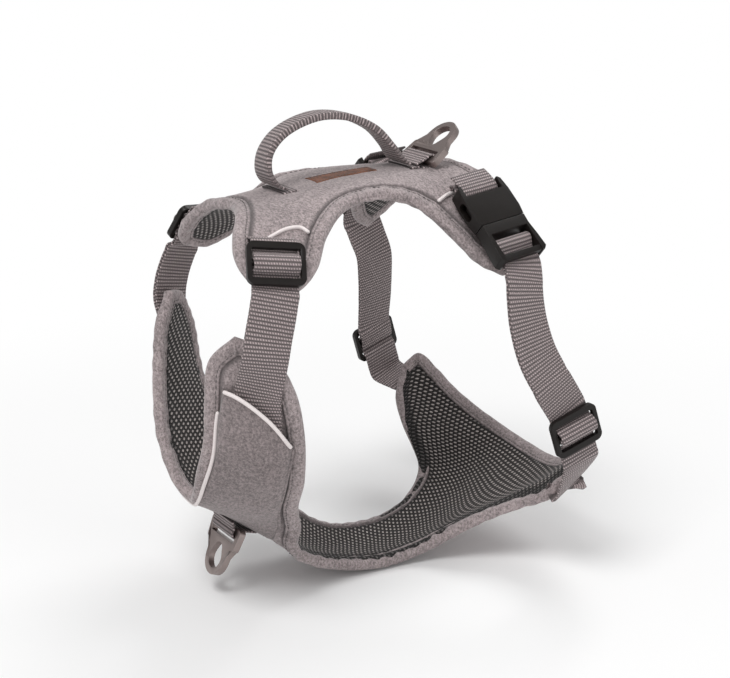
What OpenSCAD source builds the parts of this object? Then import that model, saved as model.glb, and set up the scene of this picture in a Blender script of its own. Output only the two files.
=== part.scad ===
// No-pull dog harness: a padded back panel and a padded chest panel, joined by four adjustable
// webbing straps, with two side-release buckles, a lifting handle and two leash rings.
// The dog faces -Y, its left side is +X, and the origin is the middle of the space its chest fills.

/* [Webbing] */
// Width of the straps
web_w = 25; // [20:1:28]
// Thickness of one layer of webbing
web_t = 1.4; // [1.2:0.1:1.6]

/* [Panels] */
// Thickness of the foam between the outer fabric and the lining
foam_t = 2.6; // [2:0.2:4]
// Thickness of the outer fabric
shell_t = 0.9; // [0.6:0.1:1.2]
// Thickness of the mesh lining
lining_t = 1.2; // [0.8:0.1:1.6]
// Width of the rolled edge round each panel
binding_w = 8; // [6:0.5:10]
// How far the belly end of the chest panel is rolled to the dog's right, in degrees
belly_roll = 6; // [0:1:10]
// How far the right front strap hangs behind the left one
right_lag = 22; // [0:1:25]
// How far the right front strap hangs below the left one
right_drop = 7; // [0:1:10]

/* [Fittings] */
// Outer width of a strap slider
slider_w = 31.5; // [31:0.5:36]
// Outer length of a strap slider
slider_l = 23.5; // [23:0.5:27]
// Thickness of a strap slider's frame
slider_t = 3.2; // [3:0.1:3.4]
// Width of a buckle
buckle_w = 33; // [33:0.5:36]
// Length of a closed buckle
buckle_l = 52; // [52:1:58]
// Thickness of a buckle
buckle_t = 9.5; // [9.5:0.1:11]
// Outer width of a leash ring at its slot
ring_w = 36; // [35:0.5:40]
// Length of a leash ring from its bar to its tip
ring_l = 30; // [29:0.5:36]
// Thickness of a leash ring
ring_t = 4; // [3.5:0.1:5]

/* [Hidden] */
$fn = 32;

grid_n = 18;      // cells along each side of a panel
eps = 0.01;
LEFT = 1;
RIGHT = -1;

// ---- Vectors, curves and frames ----

function unit(v) = v / norm(v);
function mix(a, b, t) = a + (b - a) * t;
function reversed(l) = [for (i = [len(l) - 1:-1:0]) l[i]];
function flip_x(l) = [for (p = l) [-p.x, p.y, p.z]];
function smooth(t) = let (c = max(0, min(1, t))) c * c * (3 - 2 * c);

// A point on the Catmull-Rom curve through the points p, with t from 0 to 1.
function spline_at(p, t) =
    let (n = len(p) - 1, i = min(floor(t * n), n - 1), f = t * n - i,
        a = i > 0 ? p[i - 1] : 2 * p[0] - p[1], b = p[i], c = p[i + 1],
        d = i + 2 <= n ? p[i + 2] : 2 * p[n] - p[n - 1])
    0.5 * (2 * b + (c - a) * f + (2 * a - 5 * b + 4 * c - d) * f * f + (3 * b - a - 3 * c + d) * f * f * f);
function spline(p, n) = [for (k = [0:n]) spline_at(p, k / n)];

// The whole edge, from the right side to the left, of a half edge given from the middle outwards.
function both_sides(half) = concat(reversed(flip_x([for (i = [1:len(half) - 1]) half[i]])), half);

// Puts children at o with their x along the strap's width, y down the strap and z outwards.
module place(o, x, y) {
    ux = unit(x);
    uz = unit(cross(ux, y));
    uy = cross(uz, ux);
    multmatrix([[ux.x, uy.x, uz.x, o.x], [ux.y, uy.y, uz.y, o.y], [ux.z, uy.z, uz.z, o.z], [0, 0, 0, 1]])
        children();
}

// ---- Solids from grids of points ----

// A closed solid between two grids of points, rows of equal length, wound so that top is outside.
module slab(top, bottom) {
    rows = len(top) - 1;
    cols = len(top[0]) - 1;
    half = (rows + 1) * (cols + 1);
    function at(i, j) = i * (cols + 1) + j;
    rim = concat([for (j = [0:cols - 1]) at(0, j)], [for (i = [0:rows - 1]) at(i, cols)],
        [for (j = [cols:-1:1]) at(rows, j)], [for (i = [rows:-1:1]) at(i, 0)]);
    points = concat([for (r = top) each r], [for (r = bottom) each r]);
    faces = concat(
        [for (i = [0:rows - 1], j = [0:cols - 1]) each [
            [at(i, j), at(i + 1, j + 1), at(i + 1, j)], [at(i, j), at(i, j + 1), at(i + 1, j + 1)]]],
        [for (i = [0:rows - 1], j = [0:cols - 1]) each [
            [half + at(i, j), half + at(i + 1, j), half + at(i + 1, j + 1)],
            [half + at(i, j), half + at(i + 1, j + 1), half + at(i, j + 1)]]],
        [for (k = [0:len(rim) - 1]) let (a = rim[k], b = rim[(k + 1) % len(rim)]) each [
            [a, half + b, b], [a, half + a, half + b]]]);
    polyhedron(points, faces, convexity = 8);
}

// A tube through rings of points: closed on itself, or capped at both ends.
module tube(rings, closed = false) {
    n = len(rings);
    m = len(rings[0]);
    last = closed ? n - 1 : n - 2;
    sides = [for (i = [0:last], k = [0:m - 1])
        let (a = i * m + k, b = i * m + (k + 1) % m, c = ((i + 1) % n) * m + (k + 1) % m,
            d = ((i + 1) % n) * m + k)
        each [[a, c, b], [a, d, c]]];
    caps = closed ? [] : [[for (k = [0:m - 1]) k], [for (k = [m - 1:-1:0]) (n - 1) * m + k]];
    polyhedron([for (r = rings) each r], concat(sides, caps), convexity = 8);
}

// The direction of a line of points at point i.
function along(p, i, closed = false) =
    let (n = len(p))
    closed ? unit(p[(i + 1) % n] - p[(i + n - 1) % n]) : unit(p[min(i + 1, n - 1)] - p[max(i - 1, 0)]);

// Webbing along p: side gives its width's direction at each point, wid and th its size there.
module ribbon(p, side, wid, th) {
    tube([for (i = [0:len(p) - 1])
        let (t = along(p, i), n = unit(cross(t, side[i])), b = cross(n, t))
        [p[i] - b * wid[i] / 2 - n * th[i] / 2, p[i] + b * wid[i] / 2 - n * th[i] / 2,
            p[i] + b * wid[i] / 2 + n * th[i] / 2, p[i] - b * wid[i] / 2 + n * th[i] / 2]]);
}
module webbing(p, side) {
    ribbon(p, side, [for (q = p) web_w], [for (q = p) web_t]);
}

// A round cord along p.
module cord(p, r, sides = 8) {
    tube([for (i = [0:len(p) - 1])
        let (t = along(p, i), u = unit(cross(t, abs(t.z) < 0.9 ? [0, 0, 1] : [1, 0, 0])), v = cross(t, u))
        [for (k = [0:sides - 1]) p[i] + r * (u * cos(k * 360 / sides) + v * sin(k * 360 / sides))]]);
}

// ---- The shape the harness takes when it is worn ----

// Moves a point from the symmetrical pattern to where it lies: the right front strap hangs further back
// than the left one, and the belly end of the chest panel is rolled to the dog's right.
function worn(p) =
    let (front = smooth(-p.x / 60) * smooth((-p.y - 30) / 50), high = smooth((p.z + 50) / 90),
        skew = right_lag * (0.5 - smooth((p.x + 36) / 72)) * 1.3 * smooth((-p.z - 88) / 30),
        roll = belly_roll * smooth((p.y + 40) / 100) * smooth((-p.z - 30) / 30))
    [p.x, p.y + right_lag * front * mix(0.6, 1, high) + skew,
        p.z - right_drop * front * high - p.x * sin(roll)];
// The same point on the left (s = 1) or the right (s = -1).
function on_side(s, p) = worn([s * p.x, p.y, p.z]);
function all_on_side(s, l) = [for (p = l) on_side(s, p)];

// ---- Panels: a surface stretched between four edges and over a middle line ----

// How far the curve through p strays at t from the straight line between its ends.
function stray(p, t) = spline_at(p, t) - mix(p[0], p[len(p) - 1], t);
function patch(e, u, v) = mix(spline_at(e[2], v), spline_at(e[3], v), u)
    + pow(1 - v, e[5]) * stray(e[0], u) + pow(v, e[5]) * stray(e[1], u);
// A point of the surface, u from right to left and v from front to rear.
function stretched(e, u, v) = patch(e, u, v) + (spline_at(e[4], v) - patch(e, 0.5, v)) * 4 * u * (1 - u);
function panel_edges(front, rear, side, mid, fade) =
    [both_sides(front), both_sides(rear), flip_x(side), side, mid, fade];

// Outward direction of a panel's surface, kept off the pointed corners.
function facing(e, u, v) =
    let (d = 0.04, uu = max(2 * d, min(1 - 2 * d, u)), vv = max(2 * d, min(1 - 2 * d, v)))
    unit(cross(stretched(e, uu + d, vv) - stretched(e, uu - d, vv),
        stretched(e, uu, vv + d) - stretched(e, uu, vv - d)));
// A point h above the panel's middle surface. sign is 1 on the back panel and -1 on the chest panel.
function on_panel(e, sign, u, v, h) = worn(stretched(e, u, v) + facing(e, u, v) * h * sign);

// The back panel's edges, from the middle to the left, and its ridge from front to rear.
back_front = [[0, -88, 91], [14, -92, 90.5], [28, -99, 89], [42, -108, 84], [54, -113, 76], [65, -110, 66],
    [72, -98, 60]];
back_side = [[72, -98, 60], [73, -86, 60], [67, -72, 68], [54, -58, 82], [42, -38, 93], [38, -12, 95],
    [42, 10, 87], [54, 23, 72], [66, 34, 57], [74, 46, 50]];
back_rear = [[0, 64, 98], [14, 66, 97], [28, 68, 93], [44, 68, 86], [58, 67, 76], [69, 60, 62], [74, 46,
    50]];
back_mid = [[0, -88, 91], [0, -74, 92.5], [0, -58, 94], [0, -40, 96], [0, -20, 98], [0, 0, 99], [0, 20,
    99.5],
    [0, 38, 99.5], [0, 52, 99], [0, 64, 98]];
back_edges = panel_edges(back_front, back_rear, back_side, back_mid, 2);

// The chest panel's edges, from the middle to the left, and its middle line from front to rear.
chest_front = [[0, -118, -75], [15, -123, -67], [31, -128, -48], [43, -129, -25], [48, -130, 0], [52,
    -129, 22],
    [63, -120, 36]];
chest_side = [[63, -120, 36], [75, -107, 30], [81, -95, 8], [79, -88, -20], [68, -82, -50], [50, -76, -76],
    [34, -60, -104], [26, -30, -126], [26, 5, -134], [29, 32, -130], [37, 50, -119], [50, 61, -104],
    [65, 69, -92], [80, 75, -82], [90, 86, -67]];
chest_rear = [[0, 118, -86], [20, 117, -85], [40, 113, -81], [60, 108, -74], [75, 103, -65], [86, 97, -58],
    [90, 86, -67]];
chest_mid = [[0, -118, -75], [0, -115, -76.5], [0, -111, -78.5], [0, -105, -82], [0, -97, -87], [0, -87,
    -94],
    [0, -66, -107], [0, -33, -127], [0, 5, -135], [0, 32, -132.5], [0, 53, -126], [0, 71, -117.5],
    [0, 88, -107], [0, 104, -96], [0, 118, -86]];
chest_edges = panel_edges(chest_front, chest_rear, chest_side, chest_mid, 4);

function back_at(u, v, h) = on_panel(back_edges, 1, u, v, h);
function chest_at(u, v, h) = on_panel(chest_edges, -1, u, v, h);
// The same on the side s, with u and v as on the left.
function back_on(s, q, h) = back_at(s > 0 ? q[0] : 1 - q[0], q[1], h);
function chest_on(s, q, h) = chest_at(s > 0 ? q[0] : 1 - q[0], q[1], h);

foam_top = foam_t / 2;
inset = 0.02;
function step(i, n) = mix(inset, 1 - inset, i / n);
module back_layer(n, low, high) {
    slab([for (i = [0:n]) [for (j = [0:n]) back_at(step(i, n), step(j, n), high)]],
        [for (i = [0:n]) [for (j = [0:n]) back_at(step(i, n), step(j, n), low)]]);
}
module chest_layer(n, low, high) {
    slab([for (j = [0:n]) [for (i = [0:n]) chest_at(step(i, n), step(j, n), high)]],
        [for (j = [0:n]) [for (i = [0:n]) chest_at(step(i, n), step(j, n), low)]]);
}

// The rolled edge: an oval section whose outer side is the panel's edge.
function border(n) = concat([for (i = [0:n - 1]) [i / n, 0]], [for (j = [0:n - 1]) [1, j / n]],
    [for (i = [n:-1:1]) [i / n, 1]], [for (j = [n:-1:1]) [0, j / n]]);
panel_t = foam_t + shell_t + lining_t;
roll_section = [[0.94, -0.7], [1, 0], [0.94, 0.7], [0.8, 1], [0.15, 1], [-0.08, 0.6], [-0.08, -0.6],
    [0.15, -1], [0.8, -1]];
module rolled_edge(p, up) {
    tube([for (i = [0:len(p) - 1])
        let (t = along(p, i, true), b = unit(cross(up[i], t)), n = cross(t, b))
        [for (q = roll_section) p[i] + b * binding_w * q[0] + n * (panel_t / 2 + 0.9) * q[1]]],
            closed = true);
}

module back_panel_shell() { color("#a89fa0") back_layer(grid_n, foam_top + eps, foam_top + shell_t); }
module back_panel_foam() { color("#3a3a3a") back_layer(grid_n, -foam_top, foam_top - 0.3); }
module back_panel_lining() { color("#26221f") back_layer(grid_n, -foam_top - lining_t, -foam_top - eps); }
module back_panel_binding() {
    uv = border(grid_n);
    color("#b3aaab") rolled_edge([for (q = uv) back_at(q[0], q[1], 0)], [for (q = uv) facing(back_edges,
        q[0], q[1])]);
}
module chest_panel_shell() { color("#8f8687") chest_layer(grid_n, foam_top + eps, foam_top + shell_t); }
module chest_panel_foam() { color("#3a3a3a") chest_layer(grid_n, -foam_top, foam_top - 0.3); }
module chest_panel_lining() { color("#26221f") chest_layer(grid_n, -foam_top - lining_t,
    -foam_top - eps); }
module chest_panel_binding() {
    uv = border(grid_n);
    color("#9a9192") rolled_edge([for (q = uv) chest_at(q[0], q[1], 0)],
        [for (q = uv) facing(chest_edges, q[0], q[1])]);
}

// ---- Piping and the pocket over the chest ----

piping_r = 1.1;
skin = foam_top + shell_t;    // height of the outer fabric's face
front_arc = [[0.82, 0.09], [0.80, 0.14], [0.80, 0.20], [0.83, 0.25], [0.89, 0.28]];
rear_arc = [[0.91, 0.70], [0.85, 0.73], [0.79, 0.78], [0.75, 0.84], [0.745, 0.90], [0.77, 0.94], [0.84,
    0.955], [0.9, 0.96]];
module wing_piping(s, arc) {
    color("#dccfce") cord([for (q = spline(arc, 16)) back_on(s, q, skin + piping_r + 0.1)], piping_r);
}

// The pocket's edges on the left: beside the neck, and beside the leg, both from the opening to the
// middle.
pocket_neck = [[0.885, 0.045], [0.80, 0.045], [0.72, 0.055], [0.62, 0.06], [0.5, 0.06]];
pocket_leg = [[0.975, 0.215], [0.95, 0.255], [0.92, 0.31], [0.89, 0.375], [0.77, 0.42], [0.62, 0.435],
    [0.5, 0.44]];
pocket_t = 1;
pocket_depth = 6.6;
// w runs from -1 at the right opening to 1 at the left opening, t from the neck side to the leg side.
function pocket_uv(w, t) =
    let (q = mix(spline_at(pocket_neck, 1 - abs(w)), spline_at(pocket_leg, 1 - abs(w)), t))
    [w < 0 ? 1 - q[0] : q[0], q[1]];
function pocket_gap(w, t) = pocket_depth * pow(sin(180 * t), 0.4) * smooth((abs(w) - 0.25) / 0.45);
function pocket_at(w, t, h) = let (q = pocket_uv(w, t)) chest_at(q[0], q[1], skin + 0.15 + pocket_gap(w,
    t) + h);
module chest_pocket() {
    rows = 28;
    cols = 9;
    color("#7d7475") slab([for (i = [0:rows]) [for (j = [0:cols]) pocket_at(1 - 2 * i / rows, j / cols,
        pocket_t)]],
        [for (i = [0:rows]) [for (j = [0:cols]) pocket_at(1 - 2 * i / rows, j / cols, 0)]]);
}
module pocket_piping(s) {
    color("#dccfce") cord([for (j = [0:12]) pocket_at(s, mix(0.02, 0.97, j / 12),
        pocket_t + piping_r - 0.3)],
        piping_r);
}
module chest_piping() {
    color("#dccfce") cord([for (i = [0:32]) let (q = pocket_uv(mix(-0.86, 0.86, i / 32), -0.02))
        chest_at(q[0], q[1], skin + piping_r + 0.1)], piping_r);
}

// ---- Placed pieces ----

// A frame is [origin, width, along, out]. This one lies at o, with its width near w and its length near y.
function frame(o, w, y) =
    let (uw = unit(w), n = unit(cross(uw, y))) [o, uw, cross(n, uw), n];
// A frame on the right is the left one seen in a mirror, with its width turned back so that out stays
// outward.
function frame_on(s, f) =
    s > 0 ? f : frame([-f[0].x, f[0].y, f[0].z], [f[1].x, -f[1].y, -f[1].z], [-f[2].x, f[2].y, f[2].z]);
function at(f, x, y, z) = f[0] + f[1] * x + f[2] * y + f[3] * z;
module put(f) {
    place(f[0], f[1], f[2]) children();
}

// ---- Sliders, and the webbing that threads them ----

bar_r = 1.7;
slot = [web_w + 1.2, slider_l - 7.2];
module rounded(size, r) {
    hull() for (x = [-1, 1], y = [-1, 1]) translate([x * (size.x / 2 - r),
        y * (size.y / 2 - r)]) circle(r);
}
// A frame with two slots, and a round bar between them for the webbing to roll over.
module slider() {
    translate([0, 0, -slider_t / 2]) linear_extrude(slider_t) difference() {
        rounded([slider_w, slider_l], 4);
        rounded(slot, 1);
    }
    translate([-slot.x / 2 - 0.5, 0, 0]) rotate([0, 90, 0]) cylinder(r = bar_r, h = slot.x + 1);
}
// The roll over the bar, as [along, out], from the side that webbing slides in on to the other side.
under = slider_t / 2 + web_t / 2 + 0.4;
layer = web_t + 0.5;
half_roll = [[12.8, -under - 0.2], [10, -under - 0.1], [8.1, -under + 0.05], [5.6, -1.2], [4.3, 1.5], [2.6,
    3.7], [0, 4.5]];
roll = concat(half_roll, [for (i = [5:-1:0]) [-half_roll[i][0], half_roll[i][1]]]);
// The sewn end round the bar, from the side of the doubled webbing.
sewn_end = [[-13.5, -under - layer], [-9, -under - layer + 0.1], [-4.6, -under - 1.2], [-1.2, -2.8],
    [1.7, -2.2], [2.75, 0],
    [1.8, 2.05], [-0.2, 2.75]];
function rolled_at(f, l, flip) = [for (q = l) [at(f, 0, q[0] * flip, q[1]), f[1]]];

front_frame = frame([70, -98, 74.7], [0.28, 0.95, -0.11], [-0.5, 0.22, 0.84]);
girth_frame = frame([107.5, 75, -39], [0.05, 0.95, 0.3], [-0.05, -0.43, 0.9]);

// ---- Front straps ----

// The strap's way down from the slider, as [point, width], on the left; the outer layer, then the inner
// one.
front_way = [[[77.5, -102.5, 60], [0.25, 0.96, -0.05]], [[80.2, -106, 50], [0.25, 0.96, 0]],
    [[81.6, -109.5, 38], [0.28, 0.96, 0]], [[80.4, -111.2, 26], [0.36, 0.93, 0]]];
pocket_way = [[0.945, 0.105], [0.925, 0.12], [0.905, 0.14], [0.885, 0.16]];
pocket_end = [0.868, 0.178];
lower_h = skin + 0.25 + web_t / 2;
hold_r = 0.9;                 // radius of the bar hidden in the pocket
turn_r = hold_r + 0.2 + web_t / 2;
function chest_left(q, h) = stretched(chest_edges, q[0], q[1]) - facing(chest_edges, q[0], q[1]) * h;
function back_left(q, h) = stretched(back_edges, q[0], q[1]) + facing(back_edges, q[0], q[1]) * h;
pocket_dir = unit(chest_left(pocket_end, 0) - chest_left(pocket_way[2], 0));
pocket_out = -facing(chest_edges, pocket_end[0], pocket_end[1]);
pocket_wid = unit(cross(pocket_out, pocket_dir));
turn_o = chest_left(pocket_end, lower_h + turn_r);
function offset_in(l, d) = [for (i = [0:len(l) - 1])
    let (t = i < len(l) - 1 ? l[i + 1][0] - l[i][0] : l[i][0] - l[i - 1][0], n = unit(cross(t, l[i][1])))
    [l[i][0] - n * d, l[i][1]]];
function front_route() =
    let (f = front_frame, w = f[1],
        top = [[[46.5, -90.3, 82], w], [[53.5, -92, 84], w], [at(f, 0, 15.2, -4.3), w]],
        arm = [for (i = [0:3]) [chest_left(pocket_way[i], lower_h + mix(2.2, 2.9, i / 3)), pocket_wid]],
        outer = concat(front_way, arm),
        inner = concat(offset_in(front_way, layer),
            [for (i = [0:3]) [chest_left(pocket_way[i], lower_h + mix(0.3, 0, i / 3)), pocket_wid]]),
        turn = [for (k = [-2:2])
            [turn_o + turn_r * (pocket_dir * cos(k * 45) - pocket_out * sin(k * 45)), pocket_wid]])
    concat(top, rolled_at(f, roll, 1), spline(outer, 20), turn, spline(reversed(inner), 20),
        rolled_at(f, sewn_end, 1));
module strap(route) {
    webbing([for (q = route) q[0]], [for (q = route) q[1]]);
}
module front_webbing(s) {
    r = front_route();
    color("#8d8484") strap([for (q = r) [on_side(s, q[0]), s > 0 ? q[1] : [q[1].x, -q[1].y, -q[1].z]]]);
}
module front_slider(s) {
    f = frame_on(s, front_frame);
    color("#26211f") put([on_side(s, front_frame[0]), f[1], f[2]]) slider();
}
module pocket_bar(s) {
    o = on_side(s, turn_o);
    w = s > 0 ? pocket_wid : [pocket_wid.x, -pocket_wid.y, -pocket_wid.z];
    color("#9a8f8c") place(o, w, [0.01, 0.02, 1]) translate([-web_w / 2 - 1, 0, 0]) rotate([0, 90, 0])
        cylinder(r = hold_r, h = web_w + 2);
}

// ---- Buckles ----

buckle_frame = frame([47.9, 43.7, 96], [0.077, -0.991, -0.102], [0.72, 0.13, -0.68]);
mouth = 27;                   // length of the socket
rail = 2.6;                   // thickness of the socket's side walls
hollow = [buckle_w - 2 * rail, buckle_t - 3];
pull = 40;                    // where the webbing's bar lies along the buckle
gap = 0.4;
module box(x, y, z) {
    translate([x[0], y[0], z[0]]) cube([x[1] - x[0], y[1] - y[0], z[1] - z[0]]);
}
module buckle_socket() {
    difference() {
        translate([0, 0, -buckle_t / 2]) linear_extrude(buckle_t)
            polygon([[-14, 0], [14, 0], [15.5, 1.5], [buckle_w / 2, 9], [buckle_w / 2, 21], [15.4, mouth],
                [-15.4, mouth], [-buckle_w / 2, 21], [-buckle_w / 2, 9], [-15.5, 1.5]]);
        box([-hollow.x / 2, hollow.x / 2], [8.5, mouth + 1], [-hollow.y / 2, hollow.y / 2]);
        for (m = [-1, 1]) translate([m * buckle_w / 2, 14.5, 0]) rotate([0, 90, 0])
            translate([0, 0, -rail * 2]) linear_extrude(rail * 4) rounded([hollow.y, 11], 3);
        box([-web_w / 2 - 0.6, web_w / 2 + 0.6], [3.4, 7.2], [-buckle_t, buckle_t]);
        box([-web_w / 2 - 0.6, web_w / 2 + 0.6], [-1, 3.5], [1.7, buckle_t]);
        box([-web_w / 2 - 0.6, web_w / 2 + 0.6], [-1, 3.5], [-buckle_t, -1.7]);
    }
}
tine_x = 10.6;                // where a tine bends, from the buckle's middle
module buckle_plug() {
    difference() {
        translate([0, 0, -buckle_t / 2]) linear_extrude(buckle_t)
            polygon([[-15.4, mouth + gap], [15.4, mouth + gap], [15, 33], [16, 42], [buckle_w / 2,
                buckle_l - 2],
                [buckle_w / 2 - 2, buckle_l], [2 - buckle_w / 2, buckle_l], [-buckle_w / 2,
                    buckle_l - 2], [-16, 42], [-15, 33]]);
        box([-web_w / 2 - 0.6, web_w / 2 + 0.6], [34, buckle_l + 1], [-buckle_t, buckle_t]);
    }
    translate([-web_w / 2 - 1, pull, 0]) rotate([0, 90, 0]) cylinder(r = bar_r, h = web_w + 2);
    box([-web_w / 2 - 1, web_w / 2 + 1], [buckle_l - 4, buckle_l - 0.5], [0.3, 3.8]);
    box([-2.4, 2.4], [14, mouth + 2], [-2, 2]);
    for (m = [-1, 1]) translate([m * tine_x, mouth + gap - 0.6, 0]) box([-1.6, 1.6], [0, 2], [-2.2, 2.2]);
}
// One of the plug's sprung arms, with the pad that shows in the socket's side. m is the side of the
// buckle.
module tine(m) {
    translate([0, 0, -2.2]) linear_extrude(4.4) polygon([for (q = [[tine_x - 1.6, mouth + gap - 1],
        [tine_x - 1.6, 22], [tine_x - 0.9, 12], [tine_x + 0.4, 10.2], [hollow.x / 2 - 0.4, 11.5],
            [hollow.x / 2 - 0.3, 18.5],
        [tine_x + 2, 20.5], [tine_x + 1.6, mouth + gap - 1]]) [m * q[0], q[1]]]);
}
module buckle_body(s) { color("#26211f") put(frame_on(s, buckle_frame)) children(); }

// ---- Girth straps ----

// Down from the buckle to the slider on the left, as [point, width]: the outer layer.
girth_way = [[[91.3, 48.3, 49], [-0.08, 0.98, -0.06]], [[94.8, 46.9, 38], [-0.05, 0.99, -0.06]],
    [[98, 47.2, 25], [0, 0.99, 0]], [[102, 50.8, 8], [0.05, 0.98, 0.12]],
    [[105, 59.8, -10], [0.05, 0.96, 0.2]]];
girth_way_right = [[[89, 52.3, 49.5], [-0.08, 0.98, 0.02]], [[88.6, 56.8, 38], [-0.05, 0.99, -0.08]],
    [[89, 62, 25], [0, 0.99, -0.08]], [[94, 66, 8], [0.05, 0.98, 0]],
    [[100, 69.5, -9], [0.05, 0.97, 0.14]]];
arm_way = [[0.985, 0.975], [0.945, 0.955], [0.905, 0.93]];
function mirrored(s, l) = s > 0 ? l : [for (q = l) [[-q[0].x, q[0].y, q[0].z], [q[1].x, -q[1].y,
    -q[1].z]]];
function buckle_turn() =
    let (f = buckle_frame, w = -f[1], r = bar_r + 0.55 + web_t / 2, y0 = buckle_l + 0.8)
    [for (q = [[y0, -1.5 - layer], [46, -1.2 - layer], [pull + 1.5, -r],
        [pull - r * 0.7, -r * 0.7], [pull - r, 0], [pull - r * 0.7, r * 0.7], [pull, r],
            [pull + r * 0.75, r * 0.65],
        [pull + 4, 0.2], [46, -1.2], [y0, -1.5]]) [at(f, 0, q[0], q[1]), w]];
module girth_webbing(s) {
    way = s > 0 ? girth_way : girth_way_right;
    upper = concat(rolled_at(girth_frame, reversed(sewn_end), -1), spline(reversed(offset_in(way,
        layer)), 16),
        buckle_turn(), spline(way, 16), rolled_at(girth_frame, reversed(roll), -1));
    f = frame_on(s, girth_frame);
    down = [[at(f, 0, -19, -under - 0.2), f[1]], [at(f, 0, -25, -under - 2.6), f[1]]];
    lie = [for (q = arm_way) [chest_on(s, q, 5), s > 0 ? [-0.35, 0.9, 0.2] : [-0.35, -0.9, -0.2]]];
    color("#8d8484") strap(concat(mirrored(s, upper), down, lie));
}
module girth_slider(s) {
    color("#26211f") put(frame_on(s, girth_frame)) slider();
}
// The short loop that holds the socket, sewn in under the rear wing's opening.
module socket_loop(s) {
    f = buckle_frame;
    r = 1.7 + 0.25 + web_t / 2;
    w = -f[1];
    loop = concat([[back_left([0.755, 0.835], 1.4), w]],
        [for (q = [[-4.5, -1.6], [0, -r], [3.6, -r], [5.6, -1.6], [6.2, 0], [5.6, 1.6], [3.6, r], [0, r],
            [-4.5, 1.9], [-9, 0.6]]) [at(f, 0, q[0], q[1]), w]]);
    color("#8d8484") strap(mirrored(s, loop));
}

// ---- Handle, label and leash rings ----

module handle_grip() {
    way = [[[0, -57.5, 98.9], 24, 1.6], [[0, -62.5, 101.5], 23, 1.8], [[0, -66.5, 109], 17, 3],
        [[0, -65, 119], 13, 4.2], [[0, -57, 128], 12.5, 4.4], [[0, -44, 134], 12.5, 4.4],
        [[0, -29, 136.5], 12.5, 4.4], [[0, -12, 134], 12.5, 4.4], [[0, 4, 126.5], 13, 4.2],
        [[0, 14.5, 116], 16, 3.2], [[0, 20.5, 107.9], 22, 2], [[0, 24.5, 104.6], 24, 1.6]];
    r = spline(way, 44);
    color("#8d8484") ribbon([for (q = r) q[0]], [for (q = r) [1, 0, 0]], [for (q = r) q[1]],
        [for (q = r) q[2]]);
}
module handle_tab(v0, v1) {
    n = 6;
    p = [for (i = [0:n]) back_at(0.5, mix(v0, v1, i / n), skin + 0.15 + web_t / 2)];
    color("#8d8484") webbing(p, [for (q = p) [1, 0, 0]]);
}
module label_patch() {
    rows = 8;
    cols = 4;
    function lab(i, j, h) = back_at(mix(0.435, 0.565, j / cols), mix(0.36, 0.585, i / rows),
        skin + 0.1 + h);
    color("#b0623b") slab([for (j = [0:cols]) [for (i = [0:rows]) lab(i, j, 1.3)]],
        [for (j = [0:cols]) [for (i = [0:rows]) lab(i, j, 0)]]);
}

// A flat ring: a slot for the webbing, shoulders, and an egg-shaped eye, with its bar along x at the
// origin.
eye_r = 6.6;
module ring_outline() {
    hull() for (m = [-1, 1]) {
        translate([m * (ring_w / 2 - 3), 0]) circle(2.1);
        translate([m * (ring_w / 2 - 4.5), 9]) circle(2.6);
    }
    hull() {
        for (m = [-1, 1]) translate([m * 8.5, 11]) circle(3);
        translate([0, ring_l - 10.5]) circle(10.5);
    }
    polygon([[-ring_w / 2 + 2, 9], [-10, 18], [10, 18], [ring_w / 2 - 2, 9]]);
}
module ring() {
    translate([0, 0, -ring_t / 2]) linear_extrude(ring_t) difference() {
        ring_outline();
        translate([0, 4.4]) rounded([web_w + 1.4, 4.6], 1);
        hull() {
            translate([0, ring_l - 10.5]) circle(eye_r);
            translate([0, 14.6]) circle(4.4);
        }
    }
}
// Each ring turns on the webbing about its bar; the frame's length points to the ring's tip.
rear_ring_frame = frame([0, 38, 104.9], [-1, 0, 0], [0, 0.8, 0.6]);
front_ring_frame = frame(chest_at(0.5, 0.345, skin + 5.7), [1, 0, 0], [0, -0.4, -0.916]);
module rear_ring() { color("#b3a5a1") put(rear_ring_frame) ring(); }
module front_ring() { color("#b3a5a1") put(front_ring_frame) ring(); }
// Webbing round a ring's bar, from one sewn end to the other; a and b are the ends.
module ring_loop(f, a, b) {
    r = 2.9 + 0.35 + web_t / 2;
    color("#8d8484") strap(concat([[a, f[1]]],
        [for (k = [0:8]) let (t = mix(-110, 110, k / 8)) [at(f, 0, r * cos(t), r * sin(t)), f[1]]], [[b,
            f[1]]]));
}
module rear_ring_loop() {
    ring_loop(rear_ring_frame, back_at(0.5, 0.71, skin + 2.4), back_at(0.5, 0.735, skin + 0.2));
}
module front_ring_loop() {
    ring_loop(front_ring_frame, chest_at(0.5, 0.3, skin + 1.4), chest_at(0.5, 0.385, skin + 1.4));
}

back_panel_shell();
back_panel_foam();
back_panel_lining();
back_panel_binding();
wing_piping(LEFT, front_arc);  // front_wing_piping_left
wing_piping(RIGHT, front_arc);  // front_wing_piping_right
wing_piping(LEFT, rear_arc);  // rear_wing_piping_left
wing_piping(RIGHT, rear_arc);  // rear_wing_piping_right
label_patch();
handle_tab(0.205, 0.265);  // handle_front_tab
handle_tab(0.69, 0.725);  // handle_rear_tab
handle_grip();
rear_ring_loop();
rear_ring();
chest_panel_shell();
chest_panel_foam();
chest_panel_lining();
chest_panel_binding();
chest_pocket();
pocket_piping(LEFT);  // pocket_piping_left
pocket_piping(RIGHT);  // pocket_piping_right
chest_piping();
front_ring_loop();
front_ring();
front_webbing(LEFT);  // front_webbing_left
front_slider(LEFT);  // front_slider_left
pocket_bar(LEFT);  // pocket_bar_left
girth_webbing(LEFT);  // girth_webbing_left
girth_slider(LEFT);  // girth_slider_left
socket_loop(LEFT);  // socket_loop_left
buckle_body(LEFT) buckle_socket();  // buckle_socket_left
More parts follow.
